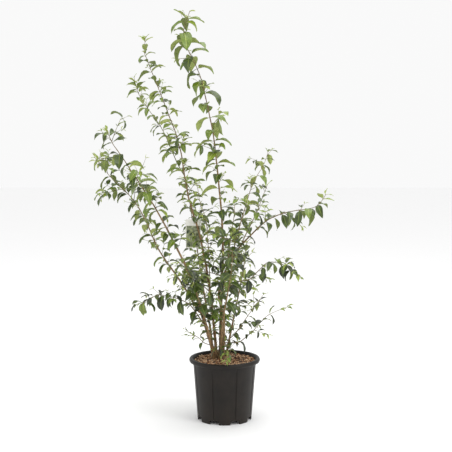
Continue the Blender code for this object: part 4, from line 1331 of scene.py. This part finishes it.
def tagCard(left, near, top):  # its corners, its faces and each face's material, 1 for the printed side
    form = tagForm
    width, corner = form["width"], form["corner"]
    low = top - form["height"]
    xs = [corner * (1 - math.cos(math.pi / 2 * i / 5)) for i in range(6)]
    xs += [corner + (width - 2 * corner) * i / form["columns"] for i in range(1, form["columns"])]
    xs += [width - x for x in reversed(xs[:6])]
    points, faces, slots = [], [], []
    for side in (0, 1):
        for x in xs:
            edge = max(0.0, corner - min(x, width - x))
            cut = corner - math.sqrt(max(0.0, corner**2 - edge**2))
            y = near + side * form["thickness"] - form["bow"] * (2 * x / width - 1)**2
            for z in (low + cut, low + max(cut, form["border"]), top - max(cut, form["head"]), top - cut):
                points.append((left + x, y, z))
    back = len(xs) * 4
    for i in range(len(xs) - 1):
        a = i * 4
        printed = form["border"] < (xs[i] + xs[i + 1]) / 2 < width - form["border"]
        for r in range(3):
            faces.append((a + r, a + r + 4, a + r + 5, a + r + 1))
            slots.append(1 if printed and r == 1 else 0)
            faces.append((back + a + r, back + a + r + 1, back + a + r + 5, back + a + r + 4))
            slots.append(0)
        faces += [(a, back + a, back + a + 4, a + 4), (a + 3, a + 7, back + a + 7, back + a + 3)]
        slots += [0, 0]
    for a in (0, back - 4):
        faces += [(a + r, a + r + 1, back + a + r + 1, back + a + r) for r in range(3)]
        slots += [0] * 3
    return points, faces, slots


def tagBand(middle, along, inner):  # the band, and the neck that it holds the card by
    form = tagForm
    level, upward = axesRound(along)
    sides = form["bandSides"]
    outer = inner + form["band"]
    points, faces = [], []
    for radius, side in ((inner, -1), (outer, -1), (outer, 1), (inner, 1)):
        for k in range(sides):
            angle = fullTurn * k / sides
            ray = level * math.cos(angle) + upward * math.sin(angle)
            points.append(tuple(middle + ray * radius + along * side * form["bandWidth"] / 2))
    for row in range(4):
        faces += between(row * sides, (row + 1) % 4 * sides, sides)
    first = len(points)
    half = form["neck"] / 2
    for y in (middle.y + inner + form["band"] / 2, middle.y + form["behind"]):
        for x, z in ((-half, -half), (half, -half), (half, half), (-half, half)):
            points.append((middle.x + x, y, middle.z + z))
    faces += between(first, first + 4, 4)
    faces += [tuple(range(first, first + 4)), tuple(range(first + 4, first + 8))]
    return points, faces


def tagPiece(name, stem, materials):
    form = tagForm
    line, radiusAt = stem
    s = form["at"] * line.length
    middle = line.at(s)
    left, top = middle.x - form["width"] * form["left"], middle.z + form["bandWidth"]
    cardPoints, cardFaces, slots = tagCard(left, middle.y + form["behind"], top)
    band = tagBand(middle, line.direction(s), radiusAt(s) * 1.15)
    points, faces = joined([(cardPoints, cardFaces), band])
    thing = meshObject(name, points, faces, materials)
    thing.data.polygons.foreach_set("material_index", slots + [0] * len(band[1]))
    facedOutwards(thing.data)
    thing.data.set_sharp_from_angle(angle=form["crease"])
    return thing


# Build the pieces
stems, masses, grown = growPlant()
massNodes = list(masses)
stemNodes = [name for name in frame["nodes"] if name.endswith("_stem")]

limbParts = []
for name, stem in stems.items():
    line = stem[0]
    facing = None if name in mainStems else (line.points[1] - line.points[0]).normalized()
    limbParts.append(barkTube(stem, facing, stemForm["sides"]))
for name, (stem, facing, _) in masses.items():
    if name.removesuffix("_foliage") not in stems:
        limbParts.append(barkTube(stem, facing, stemForm["shootSides"]))
limbParts.append(rootBurl())
stemPiece = barkPiece("stems", limbParts, barkOrTwig())
keptInBox(stemPiece)
finishPiece(stemPiece, "bark", "root_crown", *stemNodes)

leaves, twigShapes = [], []
for name, kept in grown.items():
    rng = random.Random("privet tint " + name)
    low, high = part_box(name)
    # painted shade and painted light: the lower a mass sits, the darker its leaves' greens, and the higher,
    # the lighter
    light = min(1.0, max(0.0, ((low[2] + high[2]) / 2 - tintForm["low"]) / tintForm["rise"]))
    leaves += [leaf | {"tint": tintOf(leaf, light, rng)} for leaf in kept["leaves"]]
    for twig, radius in kept["twigs"]:
        twigShapes.append(tube(smoothLine(twig.points, 0.02), stemRadius(radius, twig.length), 6))
leaves.sort(key=lambda leaf: leaf["rank"])
corners = leafPoints(leaves, np.random.default_rng(leafForm["seed"]))
clear = uncrossed(corners, BVHTree.FromPolygons(*shapeOf(stemPiece)))
print("leaves that cross no other:", len(clear), "of", len(leaves))
twigShapes += leafStalks([leaves[i] for i in clear])

greenTwig = mottledSkin("green_twig_skin", 0.02, "#5f5a32", "#86854c", 0.6)[0]  # young shoots: smooth, olive
twigPiece = meshObject("twigs", *joined(twigShapes), [greenTwig])
keptInBox(twigPiece)
finishPiece(twigPiece, "leaves", *massNodes)

perPiece = leafForm["perPiece"]
for tint, (low, high, ribColour, underLow, underHigh) in greens.items():
    skins = [
        leafSkin("waxy_leaf_" + tint, low, high, 0.42, 0.25),
        leafSkin("leaf_midrib_" + tint, ribColour, ribColour, 0.5, 0.1),
        leafSkin("leaf_underside_" + tint, underLow, underHigh, 0.65, 0.0),
    ]
    own = [i for i in clear if leaves[i]["tint"] == tint]
    for part in range(0, len(own), perPiece):
        name = f"leaves_{tint}_{part // perPiece + 1}"
        finishPiece(leafPiece(name, corners[own[part:part + perPiece]], skins), "leaves", *massNodes)

finishPiece(potPiece("nursery_pot", potPlastic()), "pot_plastic", "pot")
compost = looseMatter("damp_compost", "#2a1c13", "#4d3524", 0.004, 0.001)
finishPiece(bedPiece("compost", compost), "bark_mulch", "soil")
chipShelf = bpy.data.collections.new("chip_shapes")
for seed in range(soilForm["chipShapes"]):
    chip = chipShape(f"chip_{seed}", seed)
    bpy.context.scene.collection.objects.unlink(chip)
    chipShelf.objects.link(chip)
scatter, ports = scatterTree("scatter_chips")
for mulch in chipPieces(chipShelf, scatter, ports):
    finishPiece(mulch, "bark_mulch", "soil")
for chip in list(chipShelf.objects):
    bpy.data.objects.remove(chip)
bpy.data.collections.remove(chipShelf)

# White coated card, offset printed: a smooth sheen, white at the head, blurred greens and cream below
paper = mottledSkin("coated_card", 0.004, "#efede6", "#faf8f2", 0.42)[0]
picture = mottledSkin("printed_card", 0.011, "#20331a", "#b9bf98", 0.36, 2.5)[0]
finishPiece(tagPiece("care_card", stems["inner_left"], [paper, picture]), "card", "care_tag")


# Floor, light and camera
lamps = {  # place, height aimed at, size, watts
    "key": ((2.6, -2.2, 3.0), 0.8, 1.8, 50),
    "fill": ((-2.8, -2.4, 2.6), 0.9, 3.0, 12),
    "top": ((0.2, 0.6, 4.0), 0.8, 2.2, 40),
}
viewForm = {"lens": 88.1, "sensor": 36, "place": (0.0056, -4.3, 1.25), "down": math.radians(6.369)}
floorForm = {"half": 12, "white": 0.97, "roughness": 0.9, "sky": 0.95}


def addLamp(name, place, aim, size, watts):
    lamp = bpy.data.lights.new(name, "AREA")
    lamp.size = size
    lamp.energy = watts
    thing = bpy.data.objects.new(name, lamp)
    thing.location = place
    thing.rotation_euler = (Vector((0, 0, aim)) - Vector(place)).to_track_quat("-Z", "Y").to_euler()
    bpy.context.scene.collection.objects.link(thing)


floorPaper, _, floorShader = newMaterial("white_studio_floor")  # matt white paper
floorShader.inputs["Base Color"].default_value = (*[floorForm["white"]] * 3, 1)
floorShader.inputs["Roughness"].default_value = floorForm["roughness"]
half = floorForm["half"]
square = [(-half, -half, 0), (half, -half, 0), (half, half, 0), (-half, half, 0)]
meshObject("floor", square, [(0, 1, 2, 3)], [floorPaper])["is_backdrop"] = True
for name, lamp in lamps.items():
    addLamp(name, *lamp)
world = bpy.data.worlds.new("studio")
world.use_nodes = True
sky = world.node_tree.nodes["Background"].inputs
sky["Color"].default_value = (1, 1, 1, 1)
sky["Strength"].default_value = floorForm["sky"]
bpy.context.scene.world = world
bpy.context.scene.view_settings.view_transform = "Standard"
view = bpy.data.cameras.new("view")
view.lens = viewForm["lens"]
view.sensor_width = viewForm["sensor"]
camera = bpy.data.objects.new("view", view)
camera.location = viewForm["place"]
camera.rotation_euler = (math.radians(90) - viewForm["down"], 0, 0)
bpy.context.scene.collection.objects.link(camera)
bpy.context.scene.camera = camera
print("floor, lamps and camera placed")

sizes = {"cad": cadBox, "visual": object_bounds()}
{label: [list(map(float, corner)) for corner in box] for label, box in sizes.items()}
